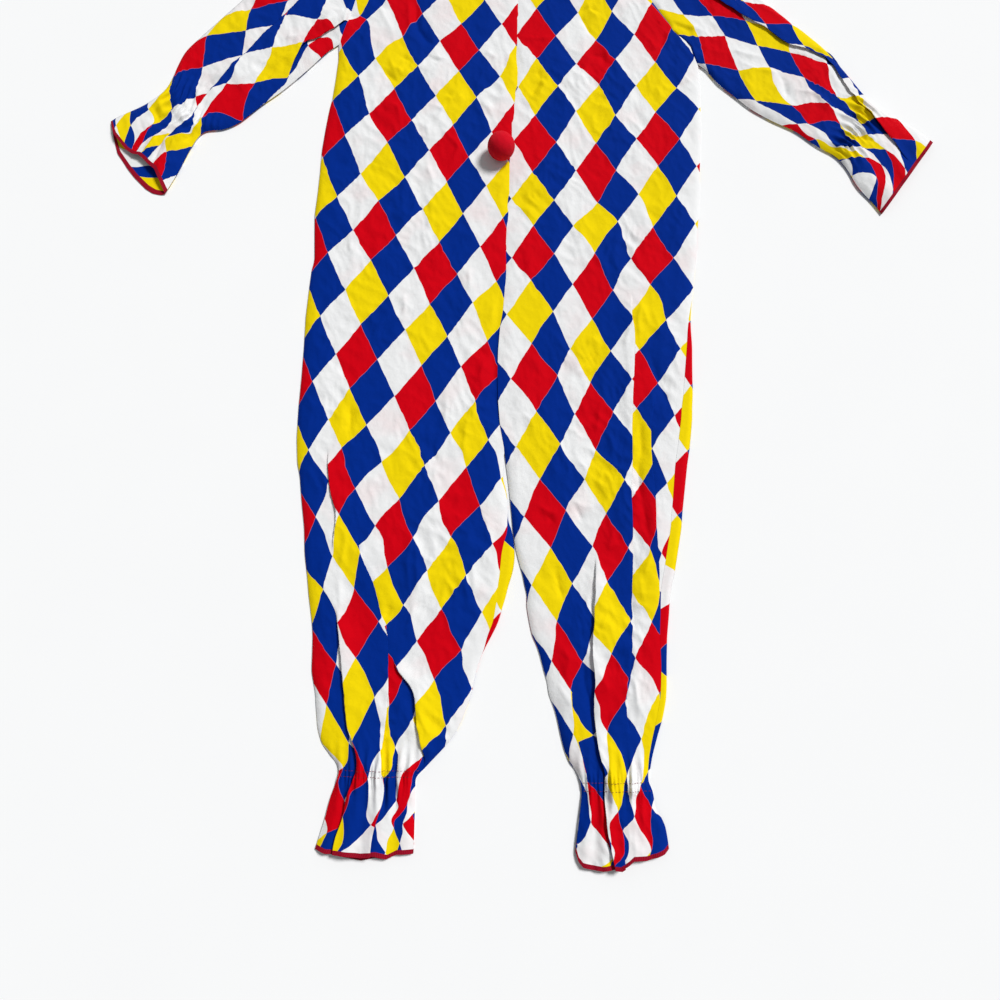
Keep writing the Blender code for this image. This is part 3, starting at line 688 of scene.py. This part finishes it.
def pulled(x, y, seed):
    """How far the creases draw the print aside at each place."""
    e, pull = 1.0, 4.0
    slope_x = (crumple(x + e, y, seed) - crumple(x - e, y, seed)) / (2 * e)
    slope_y = (crumple(x, y + e, seed) - crumple(x, y - e, seed)) / (2 * e)
    wide = [1.2 * lattice_noise(x / 30, y / 30, seed + k) for k in (5, 6)]
    small = [0.4 * lattice_noise(x / 12, y / 12, seed + k) for k in (8, 9)]
    return np.stack([wide[0] + small[0] - pull * slope_x, wide[1] + small[1] - pull * slope_y], -1)


def creased(table, x, y):
    """Height of the creases placed one by one, each sharp along its line and fading at its ends."""
    total = np.zeros_like(x)
    for (height, reach), path in ((kind, path) for kind, paths in table.items() for path in paths):
        path = np.array(path, float)
        steps = np.diff(path, axis=0)
        lengths = np.hypot(steps[:, 0], steps[:, 1])
        done, whole = 0.0, lengths.sum()
        best, best_at = np.full(x.shape, 1e9), np.zeros_like(x)
        for start, move, length in zip(path, steps, lengths):
            t = np.clip(((x - start[0]) * move[0] + (y - start[1]) * move[1]) / length**2, 0, 1)
            d = np.hypot(x - start[0] - t * move[0], y - start[1] - t * move[1])
            nearer = d < best
            best = np.where(nearer, d, best)
            best_at = np.where(nearer, (done + t * length) / whole, best_at)
            done += length
        ends = step(best_at / 0.3) * step((1 - best_at) / 0.3)
        total += height * (0.25 + 0.75 * ends) * np.exp(-np.sqrt(best**2 + (0.3 * reach) ** 2) / reach + 0.3)
    return total


# ---- Meshes ----
def add_object(name, mesh):
    mesh.shade_smooth()
    made = bpy.data.objects.new(name, mesh)
    bpy.context.scene.collection.objects.link(made)
    return made


def grid_object(name, places, heights, printed, woven, hem):
    """A sheet from a grid of places in plan millimetres and heights in millimetres."""
    rows, columns = heights.shape
    points = np.concatenate([places, heights[..., None]], axis=-1).reshape(-1, 3) * MM + ORIGIN
    index = np.arange(rows * columns).reshape(rows, columns)
    quads = np.stack([index[:-1, :-1], index[1:, :-1], index[1:, 1:], index[:-1, 1:]], -1).reshape(-1, 4)
    mesh = bpy.data.meshes.new(name)
    mesh.vertices.add(len(points))
    mesh.vertices.foreach_set("co", points.astype(np.float32).ravel())
    mesh.loops.add(quads.size)
    mesh.loops.foreach_set("vertex_index", quads.ravel().astype(np.int32))
    mesh.polygons.add(len(quads))
    mesh.polygons.foreach_set("loop_start", np.arange(0, quads.size, 4, dtype=np.int32))
    mesh.update()
    corner = quads.ravel()
    column, row = printed[..., 0], printed[..., 1]
    cells = np.stack([(column + row) / 2, (column - row) / 2], -1)
    for key, values in (("print", cells), ("weave", woven * MM), ("edge", hem)):
        layer = mesh.uv_layers.new(name=key)
        layer.uv.foreach_set("vector", values.reshape(-1, 2)[corner].astype(np.float32).ravel())
    return add_object(name, mesh)


def body_rows(side):
    """Inner and outer edge points of the body's rows, from the shoulder to the hem."""
    ends = np.array(ROW_ENDS[side], float)
    gaps = np.abs(np.diff(ends, axis=0)).mean(axis=1)
    far = np.r_[0, np.cumsum(gaps)]
    at = np.linspace(0, far[-1], int(far[-1] / ROW_STEP))
    inner_y = blur(np.interp(at, far, ends[:, 0]), 6)
    outer_y = blur(np.interp(at, far, ends[:, 1]), 6)
    inner = np.stack([blur(along(INNER[side], inner_y), 1.6), inner_y], -1)
    outer = np.stack([blur(along(OUTER[side], outer_y), 1.6), outer_y], -1)
    return inner, outer


def from_hem(places):
    """How far each place is from the hem, measured down its column."""
    steps = np.linalg.norm(np.diff(places[::-1], axis=0, prepend=places[-1:]), axis=-1)
    return np.cumsum(steps, axis=0)[::-1]


def joined(grids, added, before):
    """Grids with further columns put before or after them, the nearest of those listed first."""
    if before:
        return [np.concatenate([more[:, ::-1], grid], 1) for grid, more in zip(grids, added)]
    return [np.concatenate([grid, more], 1) for grid, more in zip(grids, added)]


def edge_rolls(side, edge, y):
    table = ROLL.get((side, edge))
    return blur(along(table, y), 2) if table else np.zeros_like(y)


def drop_to_hem(side, places, peek=()):
    """Moves the rows below the elastic so that the last one follows the hem."""
    share = np.clip((HEM_START - places[..., 1]) / (HEM_START - HEM_Y), 0, 1)
    drop = along(HEM_DROP[side], places[..., 0])
    if peek:
        drop = drop + along(peek, places[..., 0])
    places[..., 1] -= drop * share**1.3
    return places


def gathers(x, y, middle, reach):
    """Puckers across an elastic line at y = middle: long ridges, with fine crinkles beside the stitching."""
    away = np.abs(y - middle)
    wobble = 3.0 * lattice_noise(x / 20, y / 45, 91)
    uneven = 0.75 + 0.5 * lattice_noise(x / 26, y / 70, 93)
    ridges = (0.5 + 0.5 * np.cos(2 * math.pi * (x + wobble) / PUCKER_PITCH)) ** 1.5
    crinkles = 0.5 + 0.5 * np.cos(2 * math.pi * (x + 0.4 * wobble) / CRINKLE_PITCH)
    pinch = 0.5 + 0.5 * (1 - np.exp(-((away / 7) ** 2)))
    long_reach = np.exp(-((away / (reach * 2.4)) ** 2))
    fine = CRINKLE_HEIGHT * crinkles * np.exp(-((away / reach) ** 2))
    return PUCKER_HEIGHT * uneven * ridges * pinch * long_reach + fine


def tube_along(line, radius, sides=6):
    """Vertices and quads of a thin tube along a short line, narrow at its ends."""
    ways = np.gradient(line, axis=0)
    ways /= np.linalg.norm(ways, axis=1)[:, None]
    out = np.cross(ways, (0, 0, 1.0))
    out /= np.linalg.norm(out, axis=1)[:, None]
    up = np.cross(out, ways)
    width = radius * np.sqrt(np.clip(1 - np.linspace(-1, 1, len(line)) ** 4, 0.05, 1))
    turns = np.arange(sides) * 2 * math.pi / sides
    ring = out[:, None] * np.cos(turns)[None, :, None] + up[:, None] * np.sin(turns)[None, :, None]
    points = (line[:, None] + ring * width[:, None, None]).reshape(-1, 3)
    faces = []
    for k in range(len(line) - 1):
        for m in range(sides):
            n = (m + 1) % sides
            faces.append((k * sides + m, k * sides + n, (k + 1) * sides + n, (k + 1) * sides + m))
    faces.append(tuple(range(sides))[::-1])
    faces.append(tuple((len(line) - 1) * sides + m for m in range(sides)))
    return points, faces


def stitching(name, places, heights, levels):
    """Dashes of thread that follow the cloth's rows nearest the given levels."""
    points, faces = [], []
    for level in levels:
        row = int(np.argmin(np.abs(places[..., 1].mean(axis=1) - level)))
        line = np.c_[places[row], heights[row] + 0.3]
        far = np.r_[0, np.cumsum(np.linalg.norm(np.diff(line, axis=0), axis=1))]
        for start in np.arange(3.0, far[-1] - STITCH_LONG - 2, STITCH_PITCH):
            at = np.linspace(start, start + STITCH_LONG, 7)
            dash = np.stack([np.interp(at, far, line[:, k]) for k in range(3)], -1)
            new_points, new_faces = tube_along(dash, STITCH_RADIUS)
            offset = sum(len(p) for p in points)
            faces += [tuple(v + offset for v in face) for face in new_faces]
            points.append(new_points)
    mesh = bpy.data.meshes.new(name)
    mesh.from_pydata((np.concatenate(points) * MM + ORIGIN).tolist(), [], faces)
    return add_object(name, mesh)


def front(side):
    inner, outer = body_rows(side)
    inner_roll, outer_roll = edge_rolls(side, "inner", inner[:, 1]), edge_rolls(side, "outer", outer[:, 1])
    sign = 1 if side == "left" else -1
    inner[:, 0] -= sign * inner_roll
    outer[:, 0] += sign * outer_roll
    centre = step((inner[:, 1] - CROTCH_Y - 5) / 40) * step((1000 - inner[:, 1]) / 30)
    if side == "left":
        inner[:, 0] += SEAM_LAP * centre
    left, right = (outer, inner) if side == "left" else (inner, outer)
    folds = BODY_FOLDS[side]
    places, height, open_places = lay(left, right, folds, COLUMNS["front"])
    level = places[..., 1].copy()
    places = drop_to_hem(side, places)
    open_places[..., 1] += places[..., 1] - level
    seed = SEEDS["front"][side]
    pull = pulled(places[..., 0], places[..., 1], seed)
    nodes = (*down_columns(BODY_COLUMNS[side]), *BODY_CORNERS[side])
    printed = print_at(nodes, folds, 0.0, open_places + pull)
    across = np.linalg.norm(places - inner[:, None], axis=-1)
    back_across = np.linalg.norm(places - outer[:, None], axis=-1)
    inner_low = EDGE_LOW + INNER_RISE * np.maximum(centre, np.minimum(1, inner_roll / 6))[:, None]
    sleeve_side = step((outer[:, 1] - ARMPIT_Y[side] + 8) / 20)
    outer_low = EDGE_LOW + OUTER_RISE * np.maximum(sleeve_side, np.minimum(1, outer_roll / 6))[:, None]
    shoulder = step((SHOULDER_Y - (inner[:, 1] + outer[:, 1]) / 2) / 60)[:, None]
    base = LOFT - (LOFT - inner_low) * np.exp(-across / 5) - (LOFT - outer_low) * np.exp(-back_across / 5)
    base = FRONT_LOW + (base - FRONT_LOW) * (0.25 + 0.75 * shoulder)
    near_edge = (1 - np.exp(-across / 12)) * (1 - np.exp(-back_across / 12))
    from_pompom = np.hypot(places[..., 0] - POMPOM_X, places[..., 1] - POMPOM_Y)
    flat_there = 1 - 0.8 * np.exp(-((from_pompom / 30) ** 2))
    placed = creased(CREASES["front_" + side], places[..., 0], places[..., 1])
    relief = crumple(places[..., 0], places[..., 1], seed) + placed
    height = base + (height + relief * flat_there) * near_edge
    puckers = gathers(places[..., 0], level, ELASTIC_Y[side], 13)
    height += puckers * (0.3 + 0.7 * near_edge)
    frill = step((FRILL_START - level) / 60)
    share = (places[..., 0] - left[:, :1]) / (right[:, :1] - left[:, :1])
    count, deep = FRILL["front"]
    waves = 0.5 - 0.5 * np.cos(2 * math.pi * (count * share + 0.25 * np.sin(5 * share)))
    height += frill * near_edge * deep * waves
    if side == "left":
        height -= 1.3 * np.exp(-((across / 9) ** 2)) * centre[:, None]
    away = from_hem(places)
    hem = np.stack([away * MM, open_places[..., 0] * MM], -1)
    over_elastic = ELASTIC_LIFT * np.exp(-(((level - ELASTIC_Y[side]) / 12) ** 4))
    height = np.maximum(height, FRONT_LOW + over_elastic) + HEM_RELIEF * step(1 - away / HEM_BAND)
    name = "front_" + side
    thread = stitching("stitches_ankle_" + side, places, height, STITCH_ROWS[side])
    return grid_object(name + "_cloth", places, height, printed, open_places, hem), thread


def back(side):
    inner, outer = body_rows(side)
    sign = 1 if side == "left" else -1
    neck = step((inner[:, 1] - NECK_START) / 60)
    raised = neck * np.clip(NECK_Y - inner[:, 1], 0, NECK_RAISE)
    inner[:, 1] += raised * step((SHOULDER_Y + 1 - inner[:, 1]) / 10)
    rolls = edge_rolls(side, "inner", inner[:, 1]), edge_rolls(side, "outer", outer[:, 1])
    run = outer - inner
    shares = np.linspace(0, 1, COLUMNS["back"])
    places = inner[:, None] + run[:, None] * shares[None, :, None]
    heights = 0.45 + 0.25 * np.maximum(0, crumple(places[..., 0], places[..., 1], SEEDS["back"]))
    heights[:, (0, -1)] = 0.9
    unrolled = places.copy()
    for at_inner, roll, edge, way in ((True, rolls[0], inner, -sign), (False, rolls[1], outer, sign)):
        wide = np.maximum(roll, 0.6)[:, None]
        u = np.linspace(0, 1, COLUMNS["roll"] + 1)[None, 1:]
        edge_y = np.repeat(edge[:, 1:], COLUMNS["roll"], 1)
        bulge = 1.2 * np.sin(np.pi * np.minimum(u * 3, 1)) * np.minimum(1, wide / 5)
        strip = np.stack([edge[:, :1] + way * wide * u - way * bulge, edge_y], -1)
        top = 0.9 + 4.0 * np.minimum(1, wide / 6) * step(u * 2.5) + 0.3 * np.minimum(1, wide / 6)
        flat = np.stack([edge[:, :1] - way * wide * u, edge_y], -1)
        added = (strip, top, flat)
        places, heights, unrolled = joined((places, heights, unrolled), added, at_inner)
    level = places[..., 1].copy()
    places = drop_to_hem(side, places, BACK_PEEK if side == "left" else ())
    unrolled[..., 1] += places[..., 1] - level
    printed = print_at(BACK_PRINT[side], (), 0.0, unrolled)
    away = from_hem(places)
    hem = np.stack([away * MM, unrolled[..., 0] * MM], -1)
    return grid_object("back_" + side + "_cloth", places, heights, printed, unrolled, hem), None


def sleeve_rows(side):
    """Points of the top fold and of the underarm seam, from the armhole to the hem."""
    rows = np.array(SLEEVE_ROWS[side], float)
    armhole = np.array(ARMHOLE[side], float)
    first = np.r_[armhole[0], armhole[-1]][None]
    rows = np.concatenate([first, rows])
    far = np.r_[0, np.cumsum(np.linalg.norm(np.diff((rows[:, :2] + rows[:, 2:]) / 2, axis=0), axis=1))]
    at = np.linspace(0, far[-1], int(far[-1] / ROW_STEP))
    fine = np.stack([blur(np.interp(at, far, rows[:, k]), 4) for k in range(4)], -1)
    fine[0] = rows[0]
    return fine[:, :2], fine[:, 2:], at, far


def bowed(curve, start, end, part, side):
    """How far a curve stands off its chord, at each part of the way along the chord."""
    curve = np.array(curve, float)
    if side == "right":
        curve = curve[::-1]
    chord = end - start
    at = ((curve - start) @ chord) / (chord @ chord)
    off = curve - start - at[:, None] * chord
    return np.stack([np.interp(part, at, off[:, k]) for k in (0, 1)], -1)


def sleeve(side):
    top, under, at, far = sleeve_rows(side)
    left, right = (top, under) if side == "left" else (under, top)
    angle, folds = SLEEVE_TURN[side], SLEEVE_FOLDS[side]
    columns, lower = COLUMNS["sleeve"], COLUMNS["under"]
    places, height, open_places = lay(left, right, folds, columns, angle)
    share = np.linspace(0, 1, columns)
    chord = right - left
    part = ((places - left[:, None]) * chord[:, None]).sum(-1) / (chord**2).sum(-1)[:, None]
    near_body, near_hem = step(1 - at / 60), step((at - at[-1] + 45) / 45)
    hole = np.array(ARMHOLE[side], float) + (UNDER_FRONT if side == "left" else -UNDER_FRONT, 0)
    shifts = bowed(hole, left[0], right[0], part, side) * near_body[:, None, None]
    if side == "left":
        shifts = shifts + bowed(SLEEVE_HEM["top"], left[-1], right[-1], part, side) * near_hem[:, None, None]
    places = places + shifts
    open_places = open_places + turned(shifts, -angle)
    seed = SEEDS["sleeve"][side]
    pull = pulled(places[..., 0], places[..., 1], seed)
    printed = print_at(SLEEVE_PRINT[side], folds, angle, open_places + pull)
    a = np.linalg.norm(places - places[:, :1], axis=-1)
    b = np.linalg.norm(places - places[:, -1:], axis=-1)
    near_edge = (1 - np.exp(-a / 9)) * (1 - np.exp(-b / 9))
    base = SLEEVE_LOFT - 4.2 * np.exp(-a / 5) - 4.2 * np.exp(-b / 5)
    placed = creased(CREASES["sleeve_" + side], places[..., 0], places[..., 1])
    heights = base + (height + crumple(places[..., 0], places[..., 1], seed) + placed) * near_edge
    elastic_at = far[1 + SLEEVE_ELASTIC[0]] * 0.5 + far[1 + SLEEVE_ELASTIC[1]] * 0.5
    heights += gathers(a, np.repeat(at[:, None], columns, 1), elastic_at, 12) * near_edge
    frill = step((at - elastic_at) / 40)[:, None]
    count, deep = FRILL["sleeve"]
    heights += frill * near_edge * deep * (0.5 - 0.5 * np.cos(2 * math.pi * count * share))[None]
    under = step(1 - at / 12)[:, None]
    heights = np.maximum(heights * (1 - under) + np.minimum(heights, UNDER_LEVEL) * under, SLEEVE_LOW)
    shares = np.linspace(0, 1, lower)[1:]
    fold_edge, seam_edge = (places[:, 0], places[:, -1]) if side == "left" else (places[:, -1], places[:, 0])
    below = fold_edge[:, None] + (seam_edge - fold_edge)[:, None] * shares[None, :, None]
    if side == "left":
        across_below = np.broadcast_to(shares[None], (len(at), lower - 1))
        curve = bowed(SLEEVE_HEM["below"], left[-1], right[-1], across_below, side)
        below = below + curve * near_hem[:, None, None]
    distance = np.linalg.norm(below - fold_edge[:, None], axis=-1)
    rest = np.linalg.norm(below - seam_edge[:, None], axis=-1)
    levels = 0.5 + 1.9 * np.exp(-distance / 1.5) + 1.9 * np.exp(-rest / 1.5)
    levels = levels + 0.3 * np.maximum(0, crumple(below[..., 0], below[..., 1], SEEDS["under"]))
    outward = -1 if side == "left" else 1
    edge_print = printed[:, :1] if side == "left" else printed[:, -1:]
    lower_print = np.repeat(edge_print, lower - 1, 1).copy()
    lower_print[..., 0] -= distance / HALF_WIDE
    edge_open = open_places[:, :1] if side == "left" else open_places[:, -1:]
    lower_open = np.repeat(edge_open, lower - 1, 1).copy()
    lower_open[..., 0] += outward * distance
    grids, added = (places, heights, printed, open_places), (below, levels, lower_print, lower_open)
    places, heights, printed, open_places = joined(grids, added, side == "left")
    left_over = (at[-1] - at)[:, None] + np.zeros_like(heights)
    hem = np.stack([left_over * MM, open_places[..., 0] * MM], -1)
    return grid_object("sleeve_" + side + "_cloth", places, heights, printed, open_places, hem), None


# ---- Materials ----
def linear(red, green, blue):
    """A colour given as 0 to 255 on a screen, as the shader's linear numbers."""
    values = [v / 255 for v in (red, green, blue)]
    return tuple(v / 12.92 if v < 0.04045 else ((v + 0.055) / 1.055) ** 2.4 for v in values) + (1.0,)


class Shader:
    """A material's node tree, with short ways to add to it."""

    def __init__(self, name, roughness):
        self.material = bpy.data.materials.new(name)
        self.material.use_nodes = True
        self.nodes, self.links = self.material.node_tree.nodes, self.material.node_tree.links
        self.inputs = self.nodes["Principled BSDF"].inputs
        self.inputs["Roughness"].default_value = roughness

    def feed(self, socket, value):
        if isinstance(value, (int, float, tuple)):
            socket.default_value = value
        else:
            self.links.new(value, socket)

    def maths(self, operation, *values):
        node = self.nodes.new("ShaderNodeMath")
        node.operation = operation
        for socket, value in zip(node.inputs, values):
            self.feed(socket, value)
        return node.outputs[0]

    def mix(self, factor, low, high):
        node = self.nodes.new("ShaderNodeMix")
        node.data_type = "RGBA"
        for number, value in ((0, factor), (6, low), (7, high)):
            self.feed(node.inputs[number], value)
        return node.outputs[2]

    def noise(self, vector, scale, detail=2.0):
        node = self.nodes.new("ShaderNodeTexNoise")
        node.inputs["Scale"].default_value = scale
        node.inputs["Detail"].default_value = detail
        self.links.new(vector, node.inputs["Vector"])
        return node.outputs[0]

    def uv(self, name):
        node = self.nodes.new("ShaderNodeUVMap")
        node.uv_map = name
        return node.outputs[0]

    def place(self):
        return self.nodes.new("ShaderNodeTexCoord").outputs["Object"]

    def split(self, vector):
        node = self.nodes.new("ShaderNodeSeparateXYZ")
        self.links.new(vector, node.inputs[0])
        return node.outputs[0], node.outputs[1]

    def bump(self, height, strength, distance):
        node = self.nodes.new("ShaderNodeBump")
        node.inputs["Strength"].default_value = strength
        node.inputs["Distance"].default_value = distance
        self.links.new(height, node.inputs["Height"])
        self.links.new(node.outputs[0], self.inputs["Normal"])


LINE_WIDE = 0.0045  # half the pale line between diamonds, as a share of one
WARP_PITCH, WEFT_PITCH = 0.00042, 0.00046


def print_colour(cloth):
    """The diamonds: a blue, a white and a bold column in turn, the bold one red or yellow by its row."""
    maths, mix = cloth.maths, cloth.mix
    p, q = cloth.split(cloth.uv("print"))
    i, j = maths("ROUND", p), maths("ROUND", q)
    column, row = maths("ADD", i, j), maths("SUBTRACT", i, j)
    third = maths("FLOORED_MODULO", column, 3.0)
    odd = maths("FLOORED_MODULO", maths("DIVIDE", column, 3.0), 2.0)
    fourth = maths("FLOORED_MODULO", maths("ADD", row, odd), 4.0)
    is_blue, is_white = maths("COMPARE", third, 1.0, 0.5), maths("COMPARE", third, 2.0, 0.5)
    is_yellow = maths("COMPARE", fourth, 2.0, 0.9)
    stain = maths("MAXIMUM", maths("SUBTRACT", cloth.noise(cloth.uv("weave"), 14.0, 4.0), 0.5), 0.0)
    pink = maths("MULTIPLY", maths("SMOOTH_MIN", stain, 0.3, 0.1), 2.4)
    white = mix(pink, linear(236, 236, 236), linear(238, 214, 214))
    bold = mix(is_yellow, linear(205, 0, 18), linear(240, 212, 6))
    colour = mix(is_white, mix(is_blue, bold, linear(0, 42, 136)), white)
    off_p, off_q = maths("ABSOLUTE", maths("SUBTRACT", p, i)), maths("ABSOLUTE", maths("SUBTRACT", q, j))
    edge = maths("SUBTRACT", 0.5, maths("MAXIMUM", off_p, off_q))
    return mix(maths("MULTIPLY", maths("LESS_THAN", edge, LINE_WIDE), 0.2), colour, linear(225, 215, 215))


def cloth_material():
    cloth = Shader("diamond_cloth", 0.78)
    maths, mix = cloth.maths, cloth.mix
    weave = cloth.uv("weave")
    across, down = cloth.split(weave)
    to_hem, hem_run = cloth.split(cloth.uv("edge"))
    shade = maths("MULTIPLY", maths("SUBTRACT", cloth.noise(weave, 60.0, 3.0), 0.5), 0.10)
    colour = mix(maths("MAXIMUM", shade, 0.0), print_colour(cloth), linear(20, 20, 40))
    thread = maths("SINE", maths("MULTIPLY", maths("ADD", hem_run, maths("MULTIPLY", to_hem, 0.5)), 2600.0))
    red = mix(maths("MULTIPLY", maths("ADD", thread, 1.0), 0.5), linear(168, 22, 44), linear(122, 10, 30))
    colour = mix(maths("LESS_THAN", to_hem, HEM_BAND * MM), colour, red)
    cloth.links.new(colour, cloth.inputs["Base Color"])
    cloth.inputs["Specular IOR Level"].default_value = 0.04
    warp = maths("SINE", maths("MULTIPLY", across, 2 * math.pi / WARP_PITCH))
    weft = maths("SINE", maths("MULTIPLY", down, 2 * math.pi / WEFT_PITCH))
    threads = maths("MULTIPLY", maths("MULTIPLY", warp, weft), 0.00004)
    slub = maths("MULTIPLY", cloth.noise(weave, 900.0), 0.0001)
    puff = maths("MULTIPLY", cloth.noise(weave, 140.0, 3.0), 0.0011)
    cloth.bump(maths("ADD", maths("ADD", threads, slub), puff), 0.6, 1.0)
    return cloth.material


def felt_material():
    felt = Shader("red_fibre", 0.95)
    place = felt.place()
    fuzz, blotch = felt.noise(place, 900.0, 4.0), felt.noise(place, 120.0, 3.0)
    colour = felt.mix(felt.maths("MULTIPLY", fuzz, 0.8), linear(226, 4, 34), linear(176, 0, 18))
    colour = felt.mix(felt.maths("MULTIPLY", blotch, 0.25), colour, linear(240, 20, 48))
    felt.links.new(colour, felt.inputs["Base Color"])
    felt.inputs["Sheen Weight"].default_value = 0.1
    felt.inputs["Sheen Tint"].default_value = (1.0, 0.3, 0.35, 1.0)
    felt.inputs["Specular IOR Level"].default_value = 0.15
    felt.bump(fuzz, 0.8, 0.0012)
    return felt.material


def thread_material():
    thread = Shader("red_brown_thread", 0.8)
    twist = thread.noise(thread.place(), 2400.0)
    thread.links.new(thread.mix(twist, linear(150, 30, 44), linear(96, 14, 26)), thread.inputs["Base Color"])
    return thread.material


def elastic_material():
    elastic = Shader("woven_elastic", 0.85)
    maths = elastic.maths
    x, y = elastic.split(elastic.place())
    ribs = maths("SINE", maths("MULTIPLY", maths("ADD", x, y), 5200.0))
    share = maths("MULTIPLY", maths("ADD", ribs, 1.0), 0.5)
    colour = elastic.mix(share, linear(232, 229, 222), linear(205, 200, 192))
    elastic.links.new(colour, elastic.inputs["Base Color"])
    elastic.bump(ribs, 0.5, 0.0003)
    return elastic.material


def floor_material():
    ground = Shader("pale_floor", 0.9)
    grain = ground.maths("MULTIPLY", ground.noise(ground.place(), 6.0, 3.0), 0.3)
    colour = ground.mix(grain, linear(250, 250, 250), linear(244, 244, 244))
    ground.links.new(colour, ground.inputs["Base Color"])
    return ground.material


def pompom():
    """A felted ball, slightly uneven, flat where it is sewn on."""
    low, high = (Vector(corner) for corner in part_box("pompom"))
    radius = POMPOM_RADIUS * MM
    middle = Vector(((low.x + high.x) / 2, (low.y + high.y) / 2, high.z - radius))
    bm = bmesh.new()
    bmesh.ops.create_icosphere(bm, subdivisions=6, radius=1.0)
    way = np.array([v.co for v in bm.verts])
    lumps = lattice_noise(way[:, 0] * 3 + way[:, 2], way[:, 1] * 3 - way[:, 2], 3)
    tufts = lattice_noise(way[:, 0] * 16 + way[:, 2] * 9, way[:, 1] * 16 - way[:, 2] * 7, 8)
    for vert, direction, lump, tuft in zip(bm.verts, way, lumps, tufts):
        out = radius * (0.975 + 0.012 * lump + 0.012 * tuft)
        vert.co = middle + Vector(direction) * out
        vert.co.z = max(vert.co.z, low.z)
    mesh = bpy.data.meshes.new("pompom_ball")
    bm.to_mesh(mesh)
    bm.free()
    return add_object("pompom_ball", mesh)


# ---- Build ----
CLOTH = cloth_material()
THREAD = thread_material()
PANELS = (("front", front, "laid"), ("back", back, "laid"), ("sleeve", sleeve, "gathered"))
pieces = {}
for side in SIDES:
    for kind, make, held in PANELS:
        piece, thread = make(side)
        piece.data.materials.append(CLOTH)
        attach(piece, "root")
        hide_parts(kind + "_" + side)
        pieces[kind + "_" + side] = (piece, held, [])
        if thread:
            thread.data.materials.append(THREAD)
            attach(thread, "root")
            pieces[kind + "_" + side][2].append(thread)

# Flat width, length and area of each kind of sheet, in metres.
FLAT = {"front": (0.44, 1.60, 0.52), "back": (0.36, 1.62, 0.50), "sleeve": (0.52, 0.62, 0.26)}
for key, (piece, held, on_it) in pieces.items():
    wide, long, area = FLAT[key.split("_")[0]]

ball = pompom()
ball.data.materials.append(felt_material())
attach(ball, "root")
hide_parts("pompom")

ELASTIC = elastic_material()
for name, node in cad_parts.items():
    if name.startswith("elastic"):
        node.data.materials.clear()
        node.data.materials.append(ELASTIC)

# ---- Stage ----
FLOOR_SIZE, FLOOR_LEVEL = 6.0, -0.0004
SKY_COLOUR, SKY_STRENGTH = (0.95, 0.98, 1.0, 1.0), 0.25
SUN_STRENGTH, SUN_ANGLE, SUN_FROM = 3.1, math.radians(16), (0.499, 0.406, 0.766)
bpy.ops.mesh.primitive_plane_add(size=FLOOR_SIZE, location=(0, 0, FLOOR_LEVEL))
floor = bpy.context.object
floor.name = "floor"
floor.data.materials.append(floor_material())

world = bpy.data.worlds.new("studio")
world.use_nodes = True
sky = world.node_tree.nodes["Background"]
sky.inputs[0].default_value = SKY_COLOUR
sky.inputs[1].default_value = SKY_STRENGTH
bpy.context.scene.world = world
sun = bpy.data.lights.new("soft_key", "SUN")
sun.energy = SUN_STRENGTH
sun.angle = SUN_ANGLE
lamp = bpy.data.objects.new("soft_key", sun)
lamp.rotation_euler = Vector(SUN_FROM).to_track_quat("Z", "Y").to_euler()
bpy.context.scene.collection.objects.link(lamp)

TILT, DISTANCE = math.radians(12.0), 1.1265
CLOTH_LEVEL = 0.008  # the plan's lines are drawn at the cloth's own height
CAMERA_AHEAD = 0.001
SENSOR, LENS_SHARE = 36.0, 0.751  # the lens as a share of the sensor's width
camera_data = bpy.data.cameras.new("camera")
camera_data.sensor_width = SENSOR
camera_data.lens = LENS_SHARE * SENSOR
camera = bpy.data.objects.new("camera", camera_data)
camera.location = (
    ORIGIN[0],
    ORIGIN[1] - DISTANCE * math.sin(TILT) + CAMERA_AHEAD,
    DISTANCE * math.cos(TILT) + CLOTH_LEVEL,
)
camera.rotation_euler = (TILT, 0.0, 0.0)
bpy.context.scene.collection.objects.link(camera)
bpy.context.scene.camera = camera
bpy.context.scene.view_settings.view_transform = "Standard"
